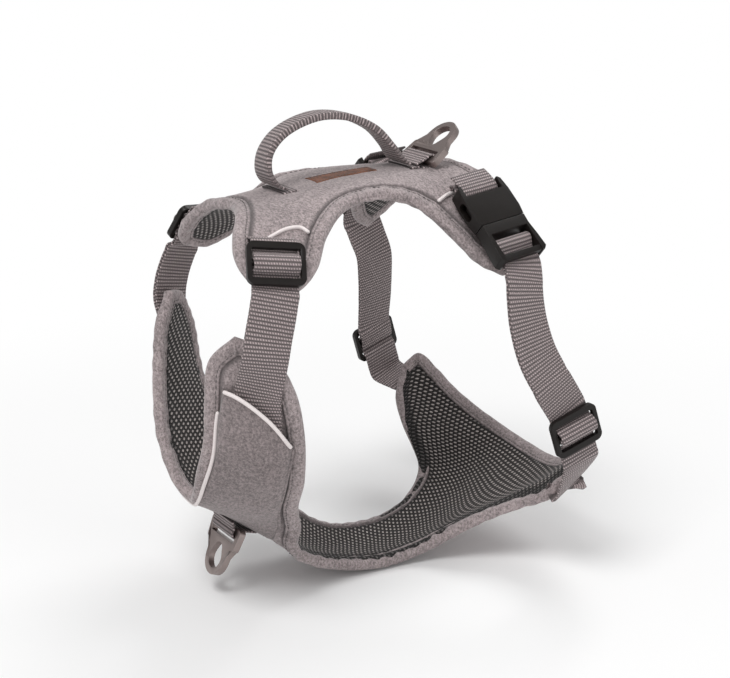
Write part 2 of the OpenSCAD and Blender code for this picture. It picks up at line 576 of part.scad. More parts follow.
buckle_body(LEFT) buckle_plug();  // buckle_plug_left
buckle_body(LEFT) tine(LEFT);  // front_tine_left
buckle_body(LEFT) tine(RIGHT);  // rear_tine_left
front_webbing(RIGHT);  // front_webbing_right
front_slider(RIGHT);  // front_slider_right
pocket_bar(RIGHT);  // pocket_bar_right
girth_webbing(RIGHT);  // girth_webbing_right
girth_slider(RIGHT);  // girth_slider_right
socket_loop(RIGHT);  // socket_loop_right
buckle_body(RIGHT) buckle_socket();  // buckle_socket_right
buckle_body(RIGHT) buckle_plug();  // buckle_plug_right
buckle_body(RIGHT) tine(RIGHT);  // front_tine_right
buckle_body(RIGHT) tine(LEFT);  // rear_tine_right
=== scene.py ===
import math

import bmesh
import bpy
import numpy as np
from bpy.props import FloatProperty, FloatVectorProperty, PointerProperty
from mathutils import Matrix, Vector


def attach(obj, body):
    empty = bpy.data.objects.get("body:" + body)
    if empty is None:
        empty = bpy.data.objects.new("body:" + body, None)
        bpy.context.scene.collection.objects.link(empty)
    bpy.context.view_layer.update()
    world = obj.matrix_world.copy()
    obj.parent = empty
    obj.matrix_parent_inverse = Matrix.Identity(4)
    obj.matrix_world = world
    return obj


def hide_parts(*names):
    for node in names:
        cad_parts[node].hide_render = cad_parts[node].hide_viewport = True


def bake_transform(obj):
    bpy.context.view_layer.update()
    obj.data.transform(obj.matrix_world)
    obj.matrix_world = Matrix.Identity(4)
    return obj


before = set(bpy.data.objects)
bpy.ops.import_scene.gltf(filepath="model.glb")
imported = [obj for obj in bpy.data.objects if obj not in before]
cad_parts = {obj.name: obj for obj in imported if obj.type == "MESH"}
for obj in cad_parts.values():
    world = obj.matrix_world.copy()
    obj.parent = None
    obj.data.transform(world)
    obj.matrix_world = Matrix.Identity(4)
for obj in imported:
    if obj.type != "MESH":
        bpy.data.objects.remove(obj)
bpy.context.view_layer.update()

bl_info = {
    "name": "No-pull dog harness",
    "version": (1, 0, 0),
    "blender": (4, 2, 0),
    "location": "View3D > Sidebar > Harness",
    "description": "Padded dog harness with webbing straps, buckles, sliders and leash rings",
    "category": "Add Mesh",
}

MM = 0.001

# ---- Vectors and curves, in millimetres ----


def unit(v):
    v = np.asarray(v, float)
    return v / np.maximum(np.linalg.norm(v, axis=-1, keepdims=True), 1e-12)


def smooth(t):
    c = np.clip(t, 0, 1)
    return c * c * (3 - 2 * c)


def spline(points, t):
    """Points of the Catmull-Rom curve through rows of numbers, at each t from 0 to 1."""
    p = np.asarray(points, float)
    n = len(p) - 1
    p = np.vstack([2 * p[0] - p[1], p, 2 * p[n] - p[n - 1]])
    x = np.clip(np.asarray(t, float), 0, 1) * n
    i = np.clip(np.floor(x).astype(int), 0, n - 1)
    f = (x - i)[..., None]
    a, b, c, d = p[i], p[i + 1], p[i + 2], p[i + 3]
    return 0.5 * (2 * b + (c - a) * f + (2 * a - 5 * b + 4 * c - d) * f**2 + (3 * b - a - 3 * c + d) * f**3)


def even(points, step, extra=()):
    """The curve through the points, resampled about every step, with extra rows carried along."""
    extra = [np.asarray(e, float).reshape(len(points), -1) for e in extra]
    rows = np.hstack([np.asarray(points, float)] + extra)
    fine = spline(rows, np.linspace(0, 1, len(rows) * 12))
    run = np.concatenate([[0], np.cumsum(np.linalg.norm(np.diff(fine[:, :3], axis=0), axis=1))])
    want = np.linspace(0, run[-1], max(int(run[-1] / step), 4) + 1)
    return np.stack([np.interp(want, run, fine[:, k]) for k in range(rows.shape[1])], 1), want


def tangents(p, closed=False, reach=1):
    if closed:
        return unit(np.roll(p, -reach, 0) - np.roll(p, reach, 0))
    n = len(p)
    i = np.arange(n)
    return unit(p[np.minimum(i + reach, n - 1)] - p[np.maximum(i - reach, 0)])


def flip_x(p):
    return np.asarray(p, float) * [-1, 1, 1]


def both_sides(half):
    h = np.asarray(half, float)
    return np.vstack([flip_x(h[1:])[::-1], h])


# ---- How the harness lies when it is worn ----

# The right front strap hangs this far back and down, and the belly end is rolled by this angle.
RIGHT_LAG, RIGHT_DROP, BELLY_ROLL = 22, 7, math.radians(6)


def worn(p):
    """Points of the even pattern, moved to where they lie on the dog."""
    p = np.asarray(p, float)
    x, y, z = p[..., 0], p[..., 1], p[..., 2]
    front = smooth(-x / 60) * smooth((-y - 30) / 50)
    high = smooth((z + 50) / 90)
    skew = RIGHT_LAG * (0.5 - smooth((x + 36) / 72)) * 1.3 * smooth((-z - 88) / 30)
    roll = BELLY_ROLL * smooth((y + 40) / 100) * smooth((-z - 30) / 30)
    return np.stack([x, y + RIGHT_LAG * front * (0.6 + 0.4 * high) + skew,
                     z - RIGHT_DROP * front * high - x * np.sin(roll)], -1)


def on_side(s, p):
    return worn(np.asarray(p, float) * [s, 1, 1])


# ---- Panels ----

class Panel:
    """A surface stretched between four edges and over a middle line.

    u runs from right to left and v from front to rear, both from 0 to 1."""

    def __init__(self, front, rear, side, middle, fade, sign):
        self.edges = both_sides(front), both_sides(rear), flip_x(side), np.asarray(side, float)
        self.middle, self.fade, self.sign = np.asarray(middle, float), fade, sign

    def patch(self, u, v):
        front, rear, right, left = self.edges
        uu, vv = u[..., None], v[..., None]

        def stray(p):
            return spline(p, u) - (p[0] * (1 - uu) + p[-1] * uu)
        return (spline(right, v) * (1 - uu) + spline(left, v) * uu
                + (1 - vv)**self.fade * stray(front) + vv**self.fade * stray(rear))

    def base(self, u, v):
        u, v = np.broadcast_arrays(np.asarray(u, float), np.asarray(v, float))
        lift = spline(self.middle, v) - self.patch(np.full_like(u, 0.5), v)
        return self.patch(u, v) + lift * (4 * u * (1 - u))[..., None]

    def facing(self, u, v):
        d = 0.04
        u, v = np.broadcast_arrays(np.asarray(u, float), np.asarray(v, float))
        u, v = np.clip(u, 2 * d, 1 - 2 * d), np.clip(v, 2 * d, 1 - 2 * d)
        across = self.base(u + d, v) - self.base(u - d, v)
        along = self.base(u, v + d) - self.base(u, v - d)
        return unit(np.cross(across, along))

    def pattern(self, u, v, h):
        """A point h above the middle surface, before the harness is put on."""
        return self.base(u, v) + self.facing(u, v) * (np.asarray(h, float) * self.sign)[..., None]

    def at(self, u, v, h):
        return worn(self.pattern(u, v, h))

    def border(self, n):
        """u and v of n points along each of the four edges, in turn."""
        k = np.arange(n) / n
        one, nil = np.ones(n), np.zeros(n)
        return np.concatenate([k, one, 1 - k, nil]), np.concatenate([nil, k, one, 1 - k])


BACK = Panel(
    front=[(0, -88, 91), (14, -92, 90.5), (28, -99, 89), (42, -108, 84), (54, -113, 76), (65, -110, 66),
           (72, -98, 60)],
    rear=[(0, 64, 98), (14, 66, 97), (28, 68, 93), (44, 68, 86), (58, 67, 76), (69, 60, 62), (74, 46, 50)],
    side=[(72, -98, 60), (73, -86, 60), (67, -72, 68), (54, -58, 82), (42, -38, 93), (38, -12, 95),
          (42, 10, 87), (54, 23, 72), (66, 34, 57), (74, 46, 50)],
    middle=[(0, -88, 91), (0, -74, 92.5), (0, -58, 94), (0, -40, 96), (0, -20, 98), (0, 0, 99),
            (0, 20, 99.5), (0, 38, 99.5), (0, 52, 99), (0, 64, 98)],
    fade=2, sign=1)
CHEST = Panel(
    front=[(0, -118, -75), (15, -123, -67), (31, -128, -48), (43, -129, -25), (48, -130, 0), (52, -129, 22),
           (63, -120, 36)],
    rear=[(0, 118, -86), (20, 117, -85), (40, 113, -81), (60, 108, -74), (75, 103, -65), (86, 97, -58),
          (90, 86, -67)],
    side=[(63, -120, 36), (75, -107, 30), (81, -95, 8), (79, -88, -20), (68, -82, -50), (50, -76, -76),
          (34, -60, -104), (26, -30, -126), (26, 5, -134), (29, 32, -130), (37, 50, -119), (50, 61, -104),
          (65, 69, -92), (80, 75, -82), (90, 86, -67)],
    middle=[(0, -118, -75), (0, -115, -76.5), (0, -111, -78.5), (0, -105, -82), (0, -97, -87), (0, -87, -94),
            (0, -66, -107), (0, -33, -127), (0, 5, -135), (0, 32, -132.5), (0, 53, -126), (0, 71, -117.5),
            (0, 88, -107), (0, 104, -96), (0, 118, -86)],
    fade=4, sign=-1)
# Thicknesses of the panel's layers (foam on each side of the middle), and the webbing's size.
FOAM, SHELL, LINING, WEB_W, WEB_T = 1.3, 0.9, 1.2, 25, 1.4
SKIN = FOAM + SHELL
EDGE_W, EDGE_T = 8, 3.25
LEFT, RIGHT = 1, -1
SIDES = (("left", LEFT), ("right", RIGHT))


def on(panel, s, q, h):
    """Worn points h above the panel, at pairs of u and v given for the left side."""
    q = np.asarray(q, float)
    u = q[..., 0] if s > 0 else 1 - q[..., 0]
    return panel.at(u, q[..., 1], np.full(u.shape, float(h)))


def centre(panel, v, h):
    """A point on the panel's centre line, h above its fabric."""
    return panel.at(np.array(0.5), np.array(v), np.array(SKIN + h))


# ---- Placed pieces: a frame is origin, width, along and out ----

def placed(o, w, y):
    w = unit(w)
    n = unit(np.cross(w, y))
    return np.array([o, w, np.cross(n, w), n], float)


def placed_on(s, f):
    return f if s > 0 else placed(f[0] * [-1, 1, 1], f[1] * [1, -1, -1], f[2] * [-1, 1, 1])


def at(f, x, y, z):
    return f[0] + f[1] * x + f[2] * y + f[3] * z


FRONT_SLIDER = placed((70, -98, 74.7), (0.28, 0.95, -0.11), (-0.5, 0.22, 0.84))
GIRTH_SLIDER = placed((107.5, 75, -39), (0.05, 0.95, 0.3), (-0.05, -0.43, 0.9))
BUCKLE = placed((47.9, 43.7, 96), (0.077, -0.991, -0.102), (0.72, 0.13, -0.68))
REAR_RING = placed((0, 38, 104.9), (-1, 0, 0), (0, 0.8, 0.6))
FRONT_RING = placed(centre(CHEST, 0.345, 5.7), (1, 0, 0), (0, -0.4, -0.916))

# ---- Meshes ----


def finish_mesh(name, mesh, material, body, replaced=()):
    """An object of the mesh, with its material, body and replaced nodes."""
    mesh.materials.clear()
    mesh.materials.append(material)
    piece = bpy.data.objects.new(name, mesh)
    bpy.context.scene.collection.objects.link(piece)
    mesh.polygons.foreach_set("use_smooth", np.ones(len(mesh.polygons), bool))
    if body:
        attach(piece, body)
    if replaced:
        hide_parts(*replaced)
    return piece


def grid_mesh(name, rings, uv=None, closed=False, shade=None):
    """A tube through rings of points: closed joins the last ring to the first, and an open one is capped.

    uv has one more column than the points, and one more row if closed. shade, the painted shade of seams and
    grooves, becomes a point attribute that darkens the cloth's colour."""
    rings = np.asarray(rings, float)
    n, m = rings.shape[:2]
    rows, cols = (n if closed else n - 1), m
    i, j = np.meshgrid(np.arange(rows), np.arange(cols), indexing="ij")
    i2, j2 = (i + 1) % n, (j + 1) % m
    quads = np.stack([i * m + j, i * m + j2, i2 * m + j2, i2 * m + j], -1).reshape(-1, 4)
    faces = quads.tolist()
    if not closed:
        faces += [list(range(m))[::-1], [(n - 1) * m + k for k in range(m)]]
    mesh = bpy.data.meshes.new(name)
    mesh.from_pydata((rings.reshape(-1, 3) * MM).tolist(), [], faces)
    if uv is None:
        line, ring = rings.mean(1), rings[n // 2]
        run = np.concatenate([[0], np.cumsum(np.linalg.norm(np.diff(line, axis=0), axis=1))])
        run = np.append(run, run[-1] + (np.linalg.norm(line[0] - line[-1]) if closed else 0))
        around = np.concatenate([[0], np.cumsum(np.linalg.norm(np.roll(ring, -1, 0) - ring, axis=1))])
        uv = np.stack(np.meshgrid(run[:rows + 1], around[:cols + 1], indexing="ij"), -1)
    uv = np.asarray(uv, float) * MM
    corner = np.stack([uv[i, j], uv[i, j + 1], uv[i + 1, j + 1], uv[i + 1, j]], 2).reshape(-1, 2)
    flat_uv = np.zeros((len(mesh.loops), 2))
    flat_uv[:len(corner)] = corner
    mesh.uv_layers.new(name="weave").data.foreach_set("uv", flat_uv.ravel())
    # The painted shade of seams and grooves, kept for the cloth materials to darken their colour.
    if shade is not None:
        seam_shade = mesh.attributes.new("seam_shade", "FLOAT", "POINT")
        seam_shade.data.foreach_set("value", np.asarray(shade, float).ravel())
    tidy = bmesh.new()
    tidy.from_mesh(mesh)
    bmesh.ops.recalc_face_normals(tidy, faces=tidy.faces)
    tidy.to_mesh(mesh)
    tidy.free()
    return mesh


def slab_rings(top, bottom):
    """Rings across a slab between two grids, each ring over the top and back along the bottom."""
    return np.concatenate([top, bottom[:, ::-1]], 1)


# A strap's section, from one edge over the top and back underneath, in widths and thicknesses.
SECTION_X = np.array([-0.5, -0.49, -0.47, -0.25, 0, 0.25, 0.47, 0.49, 0.5, 0.49, 0.47, 0.25, 0, -0.25, -0.47,
                      -0.49])
SECTION_Z = np.array([0, 0.36, 0.46, 0.48, 0.5, 0.48, 0.46, 0.36, 0, -0.36, -0.46, -0.48, -0.5, -0.48, -0.46,
                      -0.36])


def strap_rings(points, side, width, thick):
    p = np.asarray(points, float)
    t = tangents(p)
    n = unit(np.cross(t, side))
    b = np.cross(n, t)
    w, h = width[:, None, None], thick[:, None, None]
    return (p[:, None] + b[:, None] * (w * SECTION_X[None, :, None])
            + n[:, None] * (h * SECTION_Z[None, :, None]))


def strap(name, points, side, width=WEB_W, thick=WEB_T, step=1.6, body="harness", replaced=()):
    """Webbing laid along the points, with its width lying along side."""
    def many(a):
        return np.broadcast_to(np.asarray(a, float), len(points))
    rows, run = even(points, step, (side, many(width), many(thick)))
    rings = strap_rings(rows[:, :3], unit(rows[:, 3:6]), rows[:, 6], rows[:, 7])
    across = np.append(SECTION_X, SECTION_X[0])[None] * rows[:, 6:7]
    uv = np.stack([np.broadcast_to(run[:, None], across.shape), across], -1)
    return finish_mesh(name, grid_mesh(name, rings, uv), finish("webbing"), body, replaced)


def cord(name, points, radius, material, body="harness", replaced=(), step=0.8, sides=12):
    """A round cord along the points, with domed ends."""
    rows, run = even(points, step)
    t = tangents(rows)
    u = unit(np.cross(t, (0.31, 0.2, 0.93)))
    v = np.cross(t, u)
    a = np.linspace(0, 2 * math.pi, sides, endpoint=False)[None, :, None]
    r = np.full(len(rows), float(radius))
    ends = np.minimum(run, run[-1] - run) / radius
    r = (r * np.sqrt(np.clip(1 - (1 - np.clip(ends, 0, 1))**2, 0.02, 1)))[:, None, None]
    rings = rows[:, None] + r * (u[:, None] * np.cos(a) + v[:, None] * np.sin(a))
    return finish_mesh(name, grid_mesh(name, rings), finish(material), body, replaced)


# ---- Shader maths ----

class Value:
    """A shader socket that adds its own Math nodes when it is used in an expression."""

    def __init__(self, tree, socket):
        self.tree, self.socket = tree, socket

    def math(self, operation, *others):
        node = self.tree.nodes.new("ShaderNodeMath")
        node.operation = operation
        for socket, value in zip(node.inputs, (self,) + others):
            plug(self.tree, socket, value)
        return Value(self.tree, node.outputs[0])

    def __add__(self, o): return self.math("ADD", o)
    def __sub__(self, o): return self.math("SUBTRACT", o)
    def __mul__(self, o): return self.math("MULTIPLY", o)
    def __truediv__(self, o): return self.math("DIVIDE", o)
    def __pow__(self, o): return self.math("POWER", o)
    def __rsub__(self, o): return (self * -1.0) + o
    __radd__, __rmul__ = __add__, __mul__

    def between(self, low, high):
        """0 below low, 1 above high, and smooth between them; low may be the larger."""
        node = add(self.tree, "ShaderNodeMapRange", {"interpolation_type": "SMOOTHSTEP"},
                   {"Value": self, "From Min": min(low, high), "From Max": max(low, high),
                    "To Min": float(low > high), "To Max": float(low < high)})
        return Value(self.tree, node.outputs[0])


def plug(tree, socket, value):
    if isinstance(value, Value):
        tree.links.new(value.socket, socket)
    elif isinstance(value, bpy.types.NodeSocket):
        tree.links.new(value, socket)
    else:
        socket.default_value = value


def add(tree, kind, settings=(), values=()):
    """A node of the kind, with its settings, then its sockets' values or links, by name or index."""
    node = tree.nodes.new(kind)
    for key, value in dict(settings).items():
        setattr(node, key, value)
    for key, value in dict(values).items():
        plug(tree, node.inputs[key], value)
    return node


class Finish:
    """A material being made: its tree, its surface shader and the sockets that most of them use."""

    def __init__(self, name, **fixed):
        self.material = bpy.data.materials.new(name)
        self.material.use_nodes = True
        self.tree = self.material.node_tree
        self.shader = self.tree.nodes["Principled BSDF"]
        for key, value in fixed.items():
            self.shader.inputs[key.replace("_", " ")].default_value = value
        self.coords = self.add("ShaderNodeTexCoord")
        self.place = self.coords.outputs["Object"]

    def add(self, kind, settings=(), values=()):
        return add(self.tree, kind, settings, values)

    def noise(self, scale, detail=2.0, rough=0.5, stretch=None):
        where = self.place
        if stretch:
            where = self.add("ShaderNodeMapping", {}, {"Vector": where, "Scale": stretch}).outputs[0]
        node = self.add("ShaderNodeTexNoise", {}, {"Vector": where, "Scale": scale, "Detail": detail,
                                                   "Roughness": rough})
        return Value(self.tree, node.outputs[0])

    def weave(self):
        """The piece's own UV map as two values, in metres."""
        uv = self.add("ShaderNodeUVMap", {"uv_map": "weave"})
        parts = self.add("ShaderNodeSeparateXYZ", {}, {0: uv.outputs[0]})
        return Value(self.tree, parts.outputs[0]), Value(self.tree, parts.outputs[1])

    def attribute(self, name):
        return Value(self.tree, self.add("ShaderNodeAttribute", {"attribute_name": name}).outputs["Fac"])

    def blend(self, factor, a, b):
        """Colour a where the factor is 0 and colour b where it is 1."""
        node = self.add("ShaderNodeMix", {"data_type": "RGBA"})
        plug(self.tree, node.inputs["Factor"], factor)
        for socket, value in ((node.inputs[6], a), (node.inputs[7], b)):
            linked = isinstance(value, (Value, bpy.types.NodeSocket))
            plug(self.tree, socket, value if linked else (*value, 1))
        return node.outputs[2]

    def set(self, **values):
        for key, value in values.items():
            plug(self.tree, self.shader.inputs[key.replace("_", " ")], value)
        return self

    def bump(self, height, strength, distance):
        """Bumps on the surface, distance high in millimetres."""
        node = self.add("ShaderNodeBump", {}, {"Height": height, "Strength": strength,
                                               "Distance": distance * MM})
        self.set(Normal=node.outputs[0])
        return self


def scaled(colour, k):
    return tuple(min(max(c * k, 0), 1) for c in colour)


def heather(name, colour):
    """Melange woven polyester: pale and dark yarns in a tight plain weave, with painted shade in the seams."""
    f = Finish(name, Roughness=0.9, Sheen_Weight=0.25, Sheen_Roughness=0.5)
    yarn = f.noise(900, 3, 0.65)
    fleck = f.noise(430, 2, 0.6, stretch=(1, 1.7, 1))
    cloud = f.noise(22, 3, 0.55)
    light = (yarn * 0.6 + fleck * 0.55 + cloud * 0.22 - 0.2).between(0.26, 0.74)
    cloth = f.blend(light, scaled(colour, 0.42), scaled(colour, 1.42))
    white = f.noise(1250, 1, 0.5).between(0.62, 0.72) * 0.5
    cloth = f.blend(white, cloth, scaled(colour, 1.7))
    # Painted shade: the cloth darkened in its seams and grooves, towards a dark copy of its colour.
    seam_shade = f.attribute("seam_shade")
    cloth = f.blend(seam_shade * 0.75, cloth, scaled(colour, 0.16))
    f.set(Base_Color=cloth, Roughness=0.86 + light * 0.1)
    thread = f.noise(1700, 2, 0.6)
    f.bump(thread * 0.7 + fleck * 0.6 + f.noise(160, 2) * 0.5, 0.5, 0.35)
    return f.material


def mesh_cloth(name, ground, dot_highlight):
    """Spacer mesh: rows of slanted loops, their paleness a painted highlight over a black ground, each row half
    a step from the last, with painted shade in the holes and near the edge.
    """
    f = Finish(name, Roughness=0.8, Sheen_Weight=0.1)
    u, v = f.weave()
    warp = f.noise(60, 2) - 0.5
    row = v / (2.9 * MM) + warp * 0.35
    shift = row.math("FLOOR").math("MODULO", 2.0) * 0.5
    across = (u / (3.3 * MM) + shift + warp * 0.3).math("FRACT") - 0.5
    up = row.math("FRACT") - 0.5
    slant = across - up * 0.42
    loop = ((slant / 0.33)**2.0 + (up / 0.30)**2.0).between(1.0, 0.35)
    hole = (((across.math("ABSOLUTE") - 0.5) / 0.24)**2.0 + (up / 0.42)**2.0).between(1.0, 0.3)
    # Painted highlight: the loops are painted pale over the black ground, unevenly.
    lit = loop * (f.noise(420, 2) * 0.9 + 0.35)
    cloth = f.blend(lit, ground, dot_highlight)
    # Painted shade in the holes between the loops.
    cloth = f.blend(hole * 0.8, cloth, scaled(ground, 0.3))
    # Painted shade near the lining's edge.
    cloth = f.blend(f.attribute("seam_shade") * 0.8, cloth, scaled(ground, 0.25))
    f.set(Base_Color=cloth, Roughness=0.85 - loop * 0.4)
    f.bump(loop * 0.8 - hole * 0.9 + f.noise(900, 2) * 0.15, 0.9, 0.7)
    return f.material


def web_cloth(name, colour):
    """Nylon webbing: ribs across the strap, with a row of floats on each brightened as a painted highlight, and
    painted shade in the gap between.
    """
    f = Finish(name, Roughness=0.62, Sheen_Weight=0.15)
    u, v = f.weave()
    wobble = f.noise(180, 2) - 0.5
    rib = u / (2.05 * MM) + wobble * 0.16
    crest = (rib.math("FRACT") - 0.5).math("ABSOLUTE")
    shift = rib.math("FLOOR").math("MODULO", 2.0) * 0.5
    across = (v / (1.45 * MM) + shift).math("FRACT") - 0.5
    slant = across - (rib.math("FRACT") - 0.5) * 0.5
    pearl = ((slant / 0.36)**2.0 + (crest / 0.27)**2.0).between(1.0, 0.4)
    gap = crest.between(0.3, 0.48)
    base = f.blend(f.noise(700, 2), scaled(colour, 0.72), scaled(colour, 1.15))
    # Painted shade in the gaps between the ribs.
    base = f.blend(gap * 0.85, base, scaled(colour, 0.26))
    # Painted highlight: the floats on each rib's crest brightened well past the webbing's colour.
    cloth = f.blend(pearl * (f.noise(500, 1) * 0.7 + 0.5), base, scaled(colour, 2.9))
    f.set(Base_Color=cloth, Roughness=0.7 - pearl * 0.32)
    f.bump(pearl * 0.7 - gap * 0.7 + f.noise(1500, 2) * 0.2, 0.8, 0.4)
    return f.material


def piping_cloth(name, colour):
    f = Finish(name, Roughness=0.5, Sheen_Weight=0.2)
    grain = f.noise(1400, 2)
    f.set(Base_Color=f.blend(grain, scaled(colour, 0.86), scaled(colour, 1.12)), Roughness=0.42 + grain * 0.2)
    return f.bump(f.noise(900, 3), 0.25, 0.2).material


def plastic(name, colour):
    f = Finish(name, Roughness=0.4, Specular_IOR_Level=0.28)
    cloud = f.noise(120, 3)
    scuff = f.noise(700, 4, 0.7, stretch=(1, 1, 3)).between(0.66, 0.8)
    tone = f.blend(cloud, scaled(colour, 0.8), scaled(colour, 1.25))
    f.set(Base_Color=f.blend(scuff * 0.3, tone, scaled(colour, 3)),
          Roughness=0.34 + cloud * 0.12 + scuff * 0.2)
    return f.bump(f.noise(2400, 2), 0.12, 0.08).material


def metal(name, colour):
    f = Finish(name, Metallic=0.9, Roughness=0.34)
    brushed = f.noise(900, 3, 0.6, stretch=(1, 0.15, 0.15))
    cloud = f.noise(90, 3)
    f.set(Base_Color=f.blend(cloud * 0.6 + brushed * 0.3, scaled(colour, 0.75), scaled(colour, 1.15)),
          Roughness=0.26 + brushed * 0.16 + cloud * 0.06)
    return f.bump(brushed, 0.1, 0.05).material


def leather(name, colour):
    f = Finish(name, Roughness=0.55)
    cells = Value(f.tree, f.add("ShaderNodeTexVoronoi", {"feature": "DISTANCE_TO_EDGE"},
                                {"Vector": f.place, "Scale": 1100}).outputs[0])
    cloud = f.noise(160, 4, 0.6)
    tone = f.blend(cloud.between(0.3, 0.7), scaled(colour, 0.55), scaled(colour, 1.4))
    f.set(Base_Color=f.blend(f.noise(900, 2).between(0.55, 0.7) * 0.4, tone, scaled(colour, 1.9)),
          Roughness=0.5 + cloud * 0.2)
    return f.bump(cells.between(0.0, 0.2) + cloud, 0.35, 0.2).material


def thread(name, colour):
    f = Finish(name, Roughness=0.6, Sheen_Weight=0.2)
    twist = f.noise(2600, 2)
    f.set(Base_Color=f.blend(twist, scaled(colour, 0.7), scaled(colour, 1.25)), Roughness=0.5 + twist * 0.2)
    return f.bump(twist, 0.3, 0.1).material


MAKERS = {
    "outer_fabric": lambda name, g: heather(name, g.outer),
    "pocket_fabric": lambda name, g: heather(name, g.pocket),
    "mesh_lining": lambda name, g: mesh_cloth(name, g.mesh_ground, g.mesh_dot_highlight),
    "webbing": lambda name, g: web_cloth(name, g.webbing),
    "piping": lambda name, g: piping_cloth(name, g.piping),
    "plastic": lambda name, g: plastic(name, g.plastic),
    "metal": lambda name, g: metal(name, g.metal),
    "patch": lambda name, g: leather(name, g.patch),
    "dark_thread": lambda name, g: thread(name, scaled(g.thread, 0.3)),
}


FINISHES = {}


def finish(name):
    """The material of that name, made when it is first asked for."""
    if name not in FINISHES:
        FINISHES[name] = MAKERS[name](name, bpy.context.scene.harness_colours)
    return FINISHES[name]


# ---- Stitches, by Geometry Nodes ----

def stitch_tree():
    if "stitches" in bpy.data.node_groups:
        return bpy.data.node_groups["stitches"]
    tree = bpy.data.node_groups.new("stitches", "GeometryNodeTree")
    face = tree.interface
    face.new_socket("Seam", in_out="INPUT", socket_type="NodeSocketGeometry")
    for name, value in (("Length", 2.2 * MM), ("Width", 0.55 * MM)):
        face.new_socket(name, in_out="INPUT", socket_type="NodeSocketFloat").default_value = value
    face.new_socket("Thread", in_out="INPUT", socket_type="NodeSocketMaterial")
    face.new_socket("Stitches", in_out="OUTPUT", socket_type="NodeSocketGeometry")
    start, end = tree.nodes.new("NodeGroupInput"), tree.nodes.new("NodeGroupOutput")

    def named(name):
        kind = {"data_type": "FLOAT_VECTOR"}
        return add(tree, "GeometryNodeInputNamedAttribute", kind, {"Name": name}).outputs[0]
    bead = add(tree, "GeometryNodeMeshUVSphere", {}, {"Segments": 6, "Rings": 4, "Radius": 0.5})
    size = add(tree, "ShaderNodeCombineXYZ", {}, {0: start.outputs["Length"], 1: start.outputs["Width"],
                                                  2: start.outputs["Width"]})
    shape = add(tree, "GeometryNodeTransform", {}, {"Geometry": bead.outputs[0], "Scale": size.outputs[0]})
    lie = add(tree, "FunctionNodeAlignEulerToVector", {"axis": "X"}, {"Vector": named("along")})
    turn = add(tree, "FunctionNodeAlignEulerToVector", {"axis": "Z", "pivot_axis": "X"},
               {"Rotation": lie.outputs[0], "Vector": named("out")})
    each = add(tree, "GeometryNodeInstanceOnPoints", {},
               {"Points": start.outputs["Seam"], "Instance": shape.outputs[0],
                "Rotation": turn.outputs[0]})
    real = add(tree, "GeometryNodeRealizeInstances", {}, {0: each.outputs[0]})
    paint = add(tree, "GeometryNodeSetMaterial", {},
                {"Geometry": real.outputs[0], "Material": start.outputs["Thread"]})
    tree.links.new(paint.outputs[0], end.inputs[0])
    return tree


def stitches(name, seams, pitch, length, width):
    """A row of stitches along each of the seams, given as points and the outward direction at each."""
    spots, ways, outs = [], [], []
    for points, out in seams:
        rows, run = even(points, 0.5, (out,))
        k = np.searchsorted(run, np.arange(pitch / 2, run[-1], pitch))
        k = np.clip(k, 0, len(rows) - 1)
        spots.append(rows[k, :3])
        ways.append(tangents(rows[:, :3])[k])
        outs.append(unit(rows[k, 3:6]))
    spots, ways, outs = np.vstack(spots), np.vstack(ways), np.vstack(outs)
    mesh = bpy.data.meshes.new(name)
    mesh.from_pydata((spots * MM).tolist(), [], [])
    for key, rows in (("along", ways), ("out", outs)):
        mesh.attributes.new(key, "FLOAT_VECTOR", "POINT").data.foreach_set("vector", rows.ravel())
    piece = bpy.data.objects.new(name, mesh)
    bpy.context.scene.collection.objects.link(piece)
    mod = piece.modifiers.new("stitches", "NODES")
    mod.node_group = stitch_tree()
    inputs = {"Length": length * MM, "Width": width * MM, "Thread": finish("dark_thread")}
    for item in mod.node_group.interface.items_tree:
        if item.in_out == "INPUT" and item.name in inputs:
            mod[item.identifier] = inputs[item.name]
    bpy.context.view_layer.update()
    plain = bpy.data.meshes.new_from_object(piece.evaluated_get(bpy.context.evaluated_depsgraph_get()))
    bpy.data.objects.remove(piece)
    return finish_mesh(name, plain, finish("dark_thread"), "harness")


# ---- The padded panels ----

FRONT_ARC = [(0.82, 0.09), (0.80, 0.14), (0.80, 0.20), (0.83, 0.25), (0.89, 0.28)]
REAR_ARC = [(0.91, 0.70), (0.85, 0.73), (0.79, 0.78), (0.75, 0.84), (0.745, 0.90), (0.77, 0.94),
            (0.84, 0.955), (0.9, 0.96)]


def edge_distance(panel, grid):
    """How far each point of the grid lies from the panel's edge."""
    ring = panel.base(*panel.border(200))
    parts = np.array_split(grid.reshape(-1, 3), 40)
    near = [np.sqrt(((part[:, None] - ring[None]) ** 2).sum(-1).min(1)) for part in parts]
    return np.concatenate(near).reshape(grid.shape[:2])


def past_arc(u, v, arc):
    """How far a point of the back panel lies past a wing's piping, in u, on either side."""
    fine = spline(arc, np.linspace(0, 1, 60))
    fine = fine[np.argsort(fine[:, 1])]
    edge = np.interp(v, fine[:, 1], fine[:, 0], left=9, right=9)
    return np.maximum(u, 1 - u) - edge


def ripple(p, scale, seed):
    """An uneven wave from -1 to 1 over points in space, scale millimetres long."""
    x, y, z = (p[..., k] / scale for k in range(3))
    return (np.sin(x * 1.3 + y * 2.1 + seed) + np.sin(y * 1.7 - z * 1.9 + 2 * seed)
            + np.sin(z * 2.3 + x * 0.7 + 3 * seed)) / 3


PAD_INSET = 0.02            # the padding stops this far inside the panel's edge, in u and v
LINING_START = 0.66         # where along a panel the lining's rows are counted from


